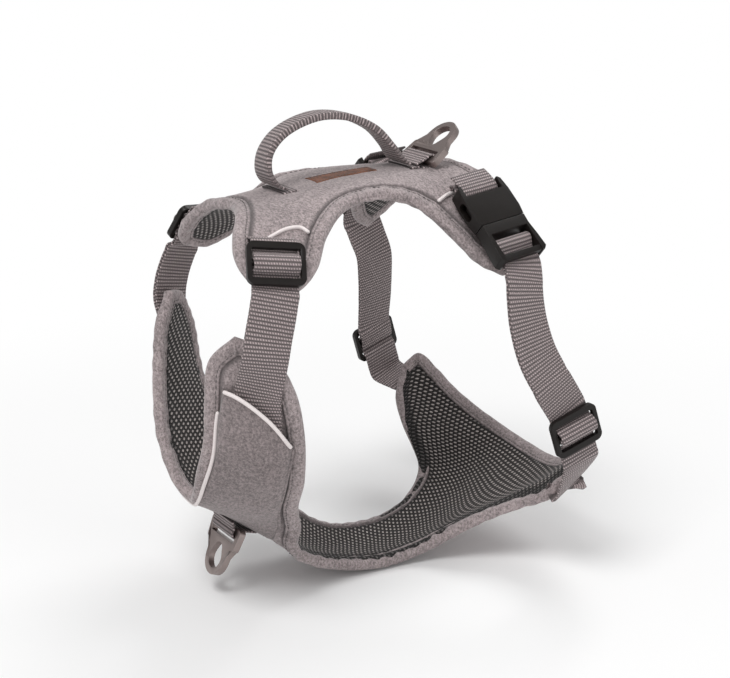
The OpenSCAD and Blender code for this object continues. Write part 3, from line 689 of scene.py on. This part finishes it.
def pad(panel, prefix, nu, nv, crown):
    """The outer fabric over its foam, sunk in at the piping and where it is sewn to the rolled edge, with
    painted shade along that join.
    """
    u, v = np.meshgrid(np.linspace(PAD_INSET, 1 - PAD_INSET, nu), np.linspace(PAD_INSET, 1 - PAD_INSET, nv),
                       indexing="ij")
    flat = panel.base(u, v)
    d = edge_distance(panel, flat)
    top = FOAM + 0.1 + (SHELL + crown) * smooth((d - 7.2) / 3.4)
    if panel is BACK:
        for arc in (FRONT_ARC, REAR_ARC):
            top = top - 0.9 * smooth(past_arc(u, v, arc) / 0.02) * smooth((d - 7) / 3)
    top = top + (0.16 * ripple(flat, 9, 1.0) + 0.1 * ripple(flat, 4.2, 2.0)) * smooth((d - 8) / 5)
    # Painted shade along the join of the padding and the rolled edge; the underside gets none.
    seam_shade = smooth((11.2 - d) / 2.6) * smooth((d - 6) / 1.5)
    rings = slab_rings(panel.at(u, v, top), panel.at(u, v, np.full_like(top, -FOAM)))
    mesh = grid_mesh(f"{prefix}_pad", rings, shade=np.concatenate([seam_shade, seam_shade[:, ::-1] * 0], 1))
    piece = finish_mesh(f"{prefix}_pad", mesh, finish("outer_fabric"), "harness",
                        (f"{prefix}_panel_shell", f"{prefix}_panel_foam"))
    mesh_lining(panel, prefix, u, v, flat, d)


def mesh_lining(panel, prefix, u, v, flat, d):
    """The lining under the foam, a closed sheet. Its UV map is counted out in millimetres along the cloth."""
    nu, nv = u.shape
    wave = 0.12 * ripple(flat, 7, 3.0) * smooth((d - 8) / 4)
    face = -(FOAM + LINING) + 0.35 * smooth((8.6 - d) / 1.5) + wave
    outer, inner = panel.at(u, v, face), panel.at(u, v, -FOAM - 0.02 + 0 * face)
    rows = np.cumsum(np.linalg.norm(np.diff(flat, axis=1), axis=2), 1)
    cols = np.cumsum(np.linalg.norm(np.diff(flat, axis=0), axis=2), 0)
    along = np.concatenate([np.zeros((nu, 1)), rows], 1)
    wide = np.concatenate([np.zeros((1, nv)), cols], 0)
    wide = wide - wide[nu // 2]
    start = int(nv * LINING_START)
    along = along - along[:, start:start + 1]
    uv = np.stack([np.concatenate([wide, wide[:, ::-1], wide[:, :1]], 1),
                   np.concatenate([along, along[:, ::-1], along[:, :1]], 1)], -1)
    # Painted shade near the panel's edge, where the lining runs in under the rolled edge; the inner face gets
    # none.
    shade = np.concatenate([smooth((10.2 - d) / 2.4), 0 * d], 1)
    mesh = grid_mesh(f"{prefix}_lining", slab_rings(outer, inner), uv, shade=shade)
    lining = finish_mesh(f"{prefix}_lining", mesh, finish("mesh_lining"), "harness",
                         (f"{prefix}_panel_lining",))


# Half of the rolled edge's section: how far in from the edge, in EDGE_W, and how high, in EDGE_T.
EDGE_X = np.array([-0.08, -0.055, 0.02, 0.14, 0.3, 0.46, 0.6, 0.69, 0.74, 0.79, 0.88, 0.97, 1.03])
EDGE_H = np.array([0.0, 0.45, 0.78, 0.96, 1.0, 0.97, 0.9, 0.82, 0.77, 0.81, 0.84, 0.72, 0.3])
GROOVE = 0.74               # where across the edge its stitches are sunk, in EDGE_W


def edge_band(panel, prefix, n=170):
    """The rolled edge: a soft oval band with a line of stitches and a groove along its inner side."""
    u, v = panel.border(n)
    p = panel.at(u, v, np.zeros_like(u))
    t = tangents(p, True, 2)
    b = unit(np.cross(panel.facing(u, v), t))
    nrm = np.cross(t, b) * panel.sign
    x = np.concatenate([EDGE_X, EDGE_X[::-1][:-1]])
    h = np.concatenate([EDGE_H, -EDGE_H[::-1][:-1]])
    wave = (0.13 * ripple(p, 3.1, 4.0))[:, None]
    size = EDGE_T * (h[None] + wave * np.sign(h)[None] * (np.abs(h)[None] > 0.4))
    rings = p[:, None] + b[:, None] * (EDGE_W * x)[None, :, None] + nrm[:, None] * size[..., None]
    # Painted shade on the band's inner side, where it meets the padding, and in the stitch groove.
    shade = np.broadcast_to(smooth((x - 0.86) / 0.14)[None], size.shape) * 0.9
    shade = shade + 0.35 * np.exp(-((x - GROOVE) / 0.04) ** 2)[None]
    mesh = grid_mesh(f"{prefix}_edge", rings, closed=True, shade=np.clip(shade, 0, 1))
    piece = finish_mesh(f"{prefix}_edge", mesh, finish("outer_fabric"), "harness",
                        (f"{prefix}_panel_binding",))
    middle, rise = p + b * EDGE_W * GROOVE, nrm * (EDGE_T * 0.79 + 0.1)

    def close(a):
        return np.vstack([a, a[:1]])
    seams = [(close(middle + rise), close(nrm)), (close(middle - rise), close(-nrm))]
    stitches(f"{prefix}_edge_stitches", seams,
             pitch=bpy.context.scene.harness_sizes.stitch / MM, length=2.1, width=0.62)


# ---- Pocket over the chest ----

POCKET_NECK = [(0.885, 0.045), (0.80, 0.045), (0.72, 0.055), (0.62, 0.06), (0.5, 0.06)]
POCKET_LEG = [(0.975, 0.215), (0.95, 0.255), (0.92, 0.31), (0.89, 0.375), (0.77, 0.42), (0.62, 0.435),
              (0.5, 0.44)]
POCKET_DEPTH = 6.6          # how far the pocket stands off the chest where the strap runs in


def pocket_uv(w, t):
    """The chest's u and v at w, -1 to 1 from right to left, and t, 0 to 1 from the neck's edge to the leg's."""
    w, t = np.broadcast_arrays(np.asarray(w, float), np.asarray(t, float))
    a, b = spline(POCKET_NECK, 1 - np.abs(w)), spline(POCKET_LEG, 1 - np.abs(w))
    q = a * (1 - t[..., None]) + b * t[..., None]
    return np.where(w < 0, 1 - q[..., 0], q[..., 0]), q[..., 1]


def pocket_at(w, t, h):
    u, v = pocket_uv(w, t)
    lift = POCKET_DEPTH * np.sin(np.pi * np.clip(t, 0, 1)) ** 0.4 * smooth((np.abs(w) - 0.25) / 0.45)
    return CHEST.at(u, v, SKIN + 0.15 + lift + h)


# ---- Straps ----

LAYER = WEB_T + 0.5
UNDER = 3.2 / 2 + WEB_T / 2 + 0.4
# A strap's way over a slider's middle bar and its sewn end under it, as distances along and out of the slider.
HALF_ROLL = [(12.8, -UNDER - 0.2), (10, -UNDER - 0.1), (8.1, -UNDER + 0.05), (5.6, -1.2), (4.3, 1.5),
             (2.6, 3.7), (0, 4.5)]
ROLL = HALF_ROLL + [(-a, b) for a, b in HALF_ROLL[5::-1]]
SEWN_END = [(-13.5, -UNDER - LAYER), (-9, -UNDER - LAYER + 0.1), (-4.6, -UNDER - 1.2), (-1.2, -2.8),
            (1.7, -2.2), (2.75, 0), (1.8, 2.05), (-0.2, 2.75)]


def rolled_at(f, line, flip):
    return [(at(f, 0, a * flip, b), f[1]) for a, b in line]


def offset_in(line, d):
    """The line of the layer that lies d further in."""
    out = []
    for i, (p, w) in enumerate(line):
        t = np.subtract(line[i + 1][0], p) if i < len(line) - 1 else np.subtract(p, line[i - 1][0])
        out.append((np.asarray(p, float) - unit(np.cross(t, w)) * d, w))
    return out


def through(line, n):
    """The smooth line through pairs of point and width, in n steps."""
    rows = np.array([list(p) + list(w) for p, w in line], float)
    fine = spline(rows, np.linspace(0, 1, n + 1))
    return [(r[:3], r[3:]) for r in fine]


def chest_left(q, h):
    u, v = np.array(q[0], float), np.array(q[1], float)
    return CHEST.base(u, v) - CHEST.facing(u, v) * h


def back_left(q, h):
    u, v = np.array(q[0], float), np.array(q[1], float)
    return BACK.base(u, v) + BACK.facing(u, v) * h


FRONT_WAY = [((77.5, -102.5, 60), (0.25, 0.96, -0.05)), ((80.2, -106, 50), (0.25, 0.96, 0)),
             ((81.6, -109.5, 38), (0.28, 0.96, 0)), ((80.4, -111.2, 26), (0.36, 0.93, 0))]
POCKET_WAY = [(0.945, 0.105), (0.925, 0.12), (0.905, 0.14), (0.885, 0.16)]
POCKET_END = (0.868, 0.178)
LOWER_H = SKIN + 0.25 + WEB_T / 2
TURN_R = 0.9 + 0.2 + WEB_T / 2


def front_route():
    f, w = FRONT_SLIDER, FRONT_SLIDER[1]
    ahead = unit(chest_left(POCKET_END, 0) - chest_left(POCKET_WAY[2], 0))
    out = -CHEST.facing(np.array(POCKET_END[0]), np.array(POCKET_END[1]))
    wide = unit(np.cross(out, ahead))
    turn_o = chest_left(POCKET_END, LOWER_H + TURN_R)
    top = [((46.5, -90.3, 82), w), ((53.5, -92, 84), w), (at(f, 0, 15.2, -4.3), w)]
    arm = [(chest_left(q, LOWER_H + 2.2 + 0.7 * i / 3), wide) for i, q in enumerate(POCKET_WAY)]
    inner = offset_in(FRONT_WAY, LAYER) + [
        (chest_left(q, LOWER_H + 0.3 * (1 - i / 3)), wide) for i, q in enumerate(POCKET_WAY)]
    turn = [(turn_o + TURN_R * (ahead * math.cos(a) - out * math.sin(a)), wide)
            for a in np.arange(-2, 3) * math.pi / 4]
    return (top + rolled_at(f, ROLL, 1) + through(FRONT_WAY + arm, 20) + turn + through(inner[::-1], 20)
            + rolled_at(f, SEWN_END, 1))


def mirrored(s, line):
    return line if s > 0 else [(np.asarray(p) * [-1, 1, 1], np.asarray(w) * [1, -1, -1]) for p, w in line]


GIRTH_WAY = [((91.3, 48.3, 49), (-0.08, 0.98, -0.06)), ((94.8, 46.9, 38), (-0.05, 0.99, -0.06)),
             ((98, 47.2, 25), (0, 0.99, 0)), ((102, 50.8, 8), (0.05, 0.98, 0.12)),
             ((105, 59.8, -10), (0.05, 0.96, 0.2))]
GIRTH_WAY_RIGHT = [((89, 52.3, 49.5), (-0.08, 0.98, 0.02)), ((88.6, 56.8, 38), (-0.05, 0.99, -0.08)),
                   ((89, 62, 25), (0, 0.99, -0.08)), ((94, 66, 8), (0.05, 0.98, 0)),
                   ((100, 69.5, -9), (0.05, 0.97, 0.14))]
ARM_WAY = [(0.985, 0.975), (0.945, 0.955), (0.905, 0.93)]
BAR_R, BUCKLE_L, PULL = 1.7, 52, 40


def buckle_turn():
    """Round the bar of the buckle's plug and back, as distances along and out of the buckle."""
    f, w, r, y0 = BUCKLE, -BUCKLE[1], BAR_R + 0.55 + WEB_T / 2, BUCKLE_L + 0.8
    rows = [(y0, -1.5 - LAYER), (46, -1.2 - LAYER), (PULL + 1.5, -r), (PULL - r * 0.7, -r * 0.7),
            (PULL - r, 0), (PULL - r * 0.7, r * 0.7), (PULL, r), (PULL + r * 0.75, r * 0.65), (PULL + 4, 0.2),
            (46, -1.2), (y0, -1.5)]
    return [(at(f, 0, a, b), w) for a, b in rows]


def girth_route(s):
    way = GIRTH_WAY if s > 0 else GIRTH_WAY_RIGHT
    upper = (rolled_at(GIRTH_SLIDER, SEWN_END[::-1], -1) + through(offset_in(way, LAYER)[::-1], 16)
             + buckle_turn() + through(way, 16) + rolled_at(GIRTH_SLIDER, ROLL[::-1], -1))
    f = placed_on(s, GIRTH_SLIDER)
    down = [(at(f, 0, -19, -UNDER - 0.2), f[1]), (at(f, 0, -25, -UNDER - 2.6), f[1])]
    lie = [(on(CHEST, s, q, 5), (-0.35, 0.9, 0.2) if s > 0 else (-0.35, -0.9, -0.2)) for q in ARM_WAY]
    return mirrored(s, upper) + down + lie


def socket_loop_route(s):
    w, r = -BUCKLE[1], BAR_R + 0.25 + WEB_T / 2
    rows = [(-4.5, -1.6), (0, -r), (3.6, -r), (5.6, -1.6), (6.2, 0), (5.6, 1.6), (3.6, r), (0, r),
            (-4.5, 1.9), (-9, 0.6)]
    turn = [(at(BUCKLE, 0, a, b), w) for a, b in rows]
    return mirrored(s, [(back_left((0.755, 0.835), 1.4), w)] + turn)


def lay_strap(name, route, **more):
    return strap(name, [p for p, w in route], [w for p, w in route], **more)


def ring_loop_route(f, a, b):
    r = 2.9 + 0.35 + WEB_T / 2
    bend = np.radians(np.linspace(-110, 110, 9))
    turn = [(at(f, 0, r * math.cos(t), r * math.sin(t)), f[1]) for t in bend]
    return [(a, f[1])] + turn + [(b, f[1])]


# ---- Hard parts ----

def moulded(name, node, material, body, bevel):
    """A rounded copy of a CAD solid: welded, its flat faces joined, and its edges eased."""
    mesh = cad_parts[node].data.copy()
    mesh.name = name
    work = bmesh.new()
    work.from_mesh(mesh)
    bmesh.ops.remove_doubles(work, verts=work.verts, dist=1e-6)
    bmesh.ops.dissolve_limit(work, angle_limit=math.radians(1.0), verts=work.verts, edges=work.edges)
    sharp = [e for e in work.edges if len(e.link_faces) == 2 and e.calc_face_angle(0) > math.radians(32)]
    bmesh.ops.bevel(work, geom=sharp, offset=bevel * MM, segments=3, profile=0.6, affect="EDGES",
                    clamp_overlap=True)
    bmesh.ops.recalc_face_normals(work, faces=work.faces)
    work.to_mesh(mesh)
    work.free()
    piece = finish_mesh(name, mesh, finish(material), body, (node,))
    mesh.set_sharp_from_angle(angle=math.radians(50))
    return piece


# ---- The add-on ----

def colour(label, about, default):
    return FloatVectorProperty(name=label, description=about, subtype="COLOR", default=default, min=0, max=1)


def length(label, about, default, low, high):
    return FloatProperty(name=label, description=about, unit="LENGTH", default=default, min=low, max=high)


class HarnessColours(bpy.types.PropertyGroup):
    outer: colour("Outer fabric", "Middle colour of the heather cloth", (0.34, 0.285, 0.285))
    pocket: colour("Pocket fabric", "Middle colour of the chest pocket", (0.235, 0.195, 0.195))
    mesh_ground: colour("Lining ground", "Colour behind the lining's loops", (0.014, 0.010, 0.009))
    # Painted highlight: the pale colour given to the lining's loops over the black ground.
    mesh_dot_highlight: colour("Lining loops", "Colour of the lining's pale loops", (0.52, 0.46, 0.44))
    webbing: colour("Webbing", "Middle colour of the webbing", (0.19, 0.155, 0.155))
    piping: colour("Piping", "Colour of the reflective piping", (0.80, 0.73, 0.72))
    plastic: colour("Plastic", "Colour of the buckles and sliders", (0.009, 0.0068, 0.006))
    metal: colour("Metal", "Colour of the leash rings", (0.36, 0.30, 0.285))
    patch: colour("Label patch", "Colour of the blank patch", (0.17, 0.07, 0.04))
    thread: colour("Thread", "Colour that the sewing thread is darkened from", (0.42, 0.37, 0.365))


class HarnessSizes(bpy.types.PropertyGroup):
    crown: length("Panel crown", "How far the padding swells between the seams", 0.0007, 0, 0.002)
    piping: length("Piping radius", "Radius of the piping cord", 0.0011, 0.0005, 0.002)
    stitch: length("Stitch pitch", "From one stitch of the rolled edge to the next", 0.0031, 0.001, 0.006)


class HARNESS_OT_back_panel(bpy.types.Operator):
    """Make the back panel's padding, lining and rolled edge"""
    bl_idname = "harness.back_panel"
    bl_label = "Back panel"

    def execute(self, context):
        pad(BACK, "back", 130, 190, context.scene.harness_sizes.crown / MM)
        edge_band(BACK, "back")
        return {"FINISHED"}


class HARNESS_OT_chest_panel(bpy.types.Operator):
    """Make the chest panel's padding, lining and rolled edge"""
    bl_idname = "harness.chest_panel"
    bl_label = "Chest panel"

    def execute(self, context):
        pad(CHEST, "chest", 150, 230, context.scene.harness_sizes.crown / MM * 0.8)
        edge_band(CHEST, "chest", 230)
        return {"FINISHED"}


class HARNESS_OT_pocket(bpy.types.Operator):
    """Make the pocket that the front straps run into"""
    bl_idname = "harness.pocket"
    bl_label = "Chest pocket"

    def execute(self, context):
        w, t = np.meshgrid(np.linspace(1, -1, 180), np.linspace(0, 1, 64), indexing="ij")
        base = pocket_at(w, t, 0)
        wave = (0.3 * ripple(base, 10, 5.0) + 0.16 * ripple(base, 4.3, 6.0)) * np.sin(np.pi * t) ** 0.6
        top = pocket_at(w, t, 1.0 + wave - 0.7 * (1 - smooth(np.minimum(t, 1 - t) / 0.03)))
        # Painted shade along the pocket's neck and leg edges, where it meets the chest.
        edge = 0.6 * smooth((0.035 - np.minimum(t, 1 - t)) / 0.03)
        rings = slab_rings(top, pocket_at(w, t, 0.05 + wave * 0.8))
        mesh = grid_mesh("pocket", rings, shade=np.concatenate([edge, 0 * edge], 1))
        piece = finish_mesh("pocket", mesh, finish("pocket_fabric"), "harness", ("chest_pocket",))
        return {"FINISHED"}


class HARNESS_OT_piping(bpy.types.Operator):
    """Make the reflective piping on the wings, the pocket and the chest"""
    bl_idname = "harness.piping"
    bl_label = "Piping"

    def execute(self, context):
        r = context.scene.harness_sizes.piping / MM
        for side, s in SIDES:
            for end, arc in (("front", FRONT_ARC), ("rear", REAR_ARC)):
                q = spline(arc, np.linspace(0, 1, 41))
                cord(f"{end}_wing_piping_{side}_cord", on(BACK, s, q, SKIN + r), r, "piping",
                     replaced=(f"{end}_wing_piping_{side}",))
            j = np.linspace(0.02, 0.97, 40)
            cord(f"pocket_piping_{side}_cord", pocket_at(np.full(40, float(s)), j, 1 + r - 0.3), r, "piping",
                 replaced=(f"pocket_piping_{side}",))
        u, v = pocket_uv(np.linspace(-0.86, 0.86, 60), np.full(60, -0.02))
        cord("chest_piping_cord", CHEST.at(u, v, np.full(60, SKIN + r)), r, "piping",
             replaced=("chest_piping",))
        for side, s in SIDES:
            w = np.linspace(0.99, 0.42, 40) * s
            cord(f"pocket_leg_cord_{side}", pocket_at(w, np.full(40, 0.995), 0.7), 0.9, "pocket_fabric")
        return {"FINISHED"}


class HARNESS_OT_straps(bpy.types.Operator):
    """Make the webbing straps and the loops of the buckles and rings"""
    bl_idname = "harness.straps"
    bl_label = "Straps"

    def execute(self, context):
        route = front_route()
        for side, s in SIDES:
            turned = [(on_side(s, p), np.asarray(w) * ([1, 1, 1] if s > 0 else [1, -1, -1]))
                      for p, w in route]
            lay_strap(f"front_strap_{side}", turned, replaced=(f"front_webbing_{side}",))
            girth = lay_strap(f"girth_strap_{side}", girth_route(s), replaced=(f"girth_webbing_{side}",),
                              body=None)
            tuple(on_side(s, at(BUCKLE, 0, 54, 0)) * MM)
            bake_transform(girth)
            lay_strap(f"buckle_loop_{side}", socket_loop_route(s), replaced=(f"socket_loop_{side}",))
        rear = ring_loop_route(REAR_RING, centre(BACK, 0.71, 2.4), centre(BACK, 0.735, 0.2))
        front = ring_loop_route(FRONT_RING, centre(CHEST, 0.3, 1.4), centre(CHEST, 0.385, 1.4))
        lay_strap("rear_ring_strap", rear, replaced=("rear_ring_loop",), step=0.7)
        lay_strap("front_ring_strap", front, replaced=("front_ring_loop",), step=0.7)
        return {"FINISHED"}


# The handle's way, as point, width and thickness.
HANDLE_WAY = [((0, -57.5, 98.9), 24, 1.6), ((0, -62.5, 101.5), 23, 1.8), ((0, -66.5, 109), 17, 3),
              ((0, -65, 119), 13, 4.2), ((0, -57, 128), 12.5, 4.4), ((0, -44, 134), 12.5, 4.4),
              ((0, -29, 136.5), 12.5, 4.4), ((0, -12, 134), 12.5, 4.4), ((0, 4, 126.5), 13, 4.2),
              ((0, 14.5, 116), 16, 3.2), ((0, 20.5, 107.9), 22, 2), ((0, 24.5, 104.6), 24, 1.6)]


class HARNESS_OT_handle(bpy.types.Operator):
    """Make the folded webbing handle and its sewn tabs"""
    bl_idname = "harness.handle"
    bl_label = "Handle"

    def execute(self, context):
        points, widths, thicks = zip(*HANDLE_WAY)
        grip = strap("handle_strap", points, [(1, 0, 0)] * len(points), widths, thicks, step=0.9, body=None,
                     replaced=("handle_grip",))
        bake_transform(grip)
        for end, v0, v1 in (("front", 0.205, 0.265), ("rear", 0.69, 0.725)):
            v = np.linspace(v0, v1, 9)
            p = BACK.at(np.full(9, 0.5), v, np.full(9, SKIN + 0.15 + WEB_T / 2))
            strap(f"handle_{end}_end", p, [(1, 0, 0)] * 9, step=0.8, replaced=(f"handle_{end}_tab",))
        return {"FINISHED"}


class HARNESS_OT_label(bpy.types.Operator):
    """Make the blank stitched patch on the back"""
    bl_idname = "harness.label"
    bl_label = "Label patch"

    def execute(self, context):
        def spread(a, b):
            """The back's u and v at a along the patch and b across it."""
            return 0.435 + 0.13 * b, 0.36 + 0.225 * a
        a, b = np.meshgrid(np.linspace(0, 1, 60), np.linspace(0, 1, 30), indexing="ij")
        u, v = spread(a, b)
        rim = np.minimum(np.minimum(a, 1 - a) * 32, np.minimum(b, 1 - b) * 12)
        rounded = np.sqrt(np.clip(1 - (1 - np.clip(rim / 0.9, 0, 1)) ** 2, 0, 1))
        h = SKIN + 0.1 + 1.3 * rounded - 0.25 * np.exp(-((rim - 1.6) / 0.5) ** 2)
        mesh = grid_mesh("patch", slab_rings(BACK.at(u, v, h), BACK.at(u, v, SKIN + 0.05 + 0 * h)))
        finish_mesh("patch", mesh, finish("patch"), "harness", ("label_patch",))
        loop = [(0.05, 0.13), (0.05, 0.87), (0.95, 0.87), (0.95, 0.13), (0.05, 0.13)]
        seams = []
        for (a0, b0), (a1, b1) in zip(loop, loop[1:]):
            k = np.linspace(0, 1, 12)
            u, v = spread(a0 + (a1 - a0) * k, b0 + (b1 - b0) * k)
            seams.append((BACK.at(u, v, np.full(12, SKIN + 1.32)), BACK.facing(u, v)))
        stitches("patch_stitches", seams, pitch=2.2, length=1.5, width=0.4)
        return {"FINISHED"}


class HARNESS_OT_hardware(bpy.types.Operator):
    """Make the sliders, buckles and leash rings"""
    bl_idname = "harness.hardware"
    bl_label = "Hardware"

    def execute(self, context):
        for side, s in SIDES:
            for place in ("front", "girth"):
                moulded(f"{place}_adjuster_{side}", f"{place}_slider_{side}", "plastic",
                        f"{place}_slider_{side}", 0.7)
            moulded(f"socket_{side}", f"buckle_socket_{side}", "plastic", "harness", 0.8)
            moulded(f"plug_{side}_frame", f"buckle_plug_{side}", "plastic", f"plug_{side}", 0.7)
            for end in ("front", "rear"):
                moulded(f"{end}_pad_{side}", f"{end}_tine_{side}", "plastic", f"{end}_tine_{side}", 0.5)
            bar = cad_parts[f"pocket_bar_{side}"].data
            bar.materials.clear()
            bar.materials.append(finish("metal"))
        moulded("rear_leash_ring", "rear_ring", "metal", "rear_ring", 0.9)
        moulded("front_leash_ring", "front_ring", "metal", "front_ring", 0.9)
        return {"FINISHED"}


FLOOR_Z, FLOOR_SIZE = -0.1395, 6.0
# Each lamp's name, place, size in metres and power in watts.
LAMPS = (("key", (0.5, -0.9, 1.6), 0.8, 21), ("fill", (1.7, 0.5, 0.6), 1.2, 5),
         ("top", (-0.5, 0.9, 1.5), 0.9, 10))
AZIMUTH, ELEVATION, DISTANCE = math.radians(58), math.radians(17), 0.98


class HARNESS_OT_stage(bpy.types.Operator):
    """Set the floor, the soft lights and the camera"""
    bl_idname = "harness.stage"
    bl_label = "Stage"

    def execute(self, context):
        self.floor(context.scene)
        self.light(context.scene)
        self.camera(context.scene)
        context.scene.view_settings.view_transform = "Standard"
        return {"FINISHED"}

    def floor(self, scene):
        """A pale floor that fades to plain white away from the harness."""
        mesh = bpy.data.meshes.new("floor")
        k, z = FLOOR_SIZE, FLOOR_Z
        mesh.from_pydata([(-k, -k, z), (k, -k, z), (k, k, z), (-k, k, z)], [], [(0, 1, 2, 3)])
        paint = Finish("floor", Roughness=0.9, Base_Color=(0.93, 0.93, 0.93, 1))
        reach = paint.add("ShaderNodeVectorMath", {"operation": "LENGTH"}, {0: paint.place}).outputs["Value"]
        glow = paint.add("ShaderNodeEmission")
        far = paint.add("ShaderNodeMixShader", {}, {1: paint.shader.outputs[0], 2: glow.outputs[0]})
        plug(paint.tree, far.inputs[0], Value(paint.tree, reach).between(0.12, 0.62))
        plug(paint.tree, paint.tree.nodes["Material Output"].inputs[0], far.outputs[0])
        mesh.materials.append(paint.material)
        floor = bpy.data.objects.new("floor", mesh)
        scene.collection.objects.link(floor)

    def light(self, scene):
        """A soft white room, brighter to look at than it lights, and three large lamps."""
        world = bpy.data.worlds.new("studio")
        world.use_nodes = True
        tree = world.node_tree
        seen = add(tree, "ShaderNodeLightPath").outputs["Is Camera Ray"]
        sky = tree.nodes["Background"]
        sky.inputs[0].default_value = (1, 1, 1, 1)
        plug(tree, sky.inputs[1], Value(tree, seen) * 0.62 + 0.40)
        scene.world = world
        for name, place, size, power in LAMPS:
            lamp = bpy.data.lights.new(name, "AREA")
            lamp.energy, lamp.size = power, size
            light = bpy.data.objects.new(name, lamp)
            light.location = place
            light.rotation_euler = (-Vector(place)).to_track_quat("-Z", "Y").to_euler()
            scene.collection.objects.link(light)

    def camera(self, scene):
        lens = bpy.data.cameras.new("camera")
        lens.lens, lens.sensor_width = 81.17, 36
        camera = bpy.data.objects.new("camera", lens)
        flat = math.cos(ELEVATION)
        place = (math.sin(AZIMUTH) * flat, -math.cos(AZIMUTH) * flat, math.sin(ELEVATION))
        camera.location = Vector(place) * DISTANCE
        camera.rotation_euler = (-camera.location).to_track_quat("-Z", "Y").to_euler()
        scene.collection.objects.link(camera)
        scene.camera = camera


OPERATORS = (HARNESS_OT_stage, HARNESS_OT_back_panel, HARNESS_OT_chest_panel, HARNESS_OT_pocket,
             HARNESS_OT_piping, HARNESS_OT_straps, HARNESS_OT_handle, HARNESS_OT_label, HARNESS_OT_hardware)


class HARNESS_PT_panel(bpy.types.Panel):
    bl_idname = "HARNESS_PT_panel"
    bl_label = "Dog harness"
    bl_space_type = "VIEW_3D"
    bl_region_type = "UI"
    bl_category = "Harness"

    def draw(self, context):
        for operator in OPERATORS:
            self.layout.operator(operator.bl_idname)
        for group in (context.scene.harness_sizes, context.scene.harness_colours):
            for key in group.bl_rna.properties.keys():
                if key not in ("rna_type", "name"):
                    self.layout.prop(group, key)


CLASSES = (HarnessColours, HarnessSizes, *OPERATORS, HARNESS_PT_panel)


def register():
    for cls in CLASSES:
        bpy.utils.register_class(cls)
    bpy.types.Scene.harness_colours = PointerProperty(type=HarnessColours)
    bpy.types.Scene.harness_sizes = PointerProperty(type=HarnessSizes)


def unregister():
    del bpy.types.Scene.harness_sizes
    del bpy.types.Scene.harness_colours
    for cls in reversed(CLASSES):
        bpy.utils.unregister_class(cls)


def main():
    register()
    for operator in OPERATORS:
        group, name = operator.bl_idname.split(".")
        getattr(getattr(bpy.ops, group), name)()


if __name__ == "__main__":
    main()
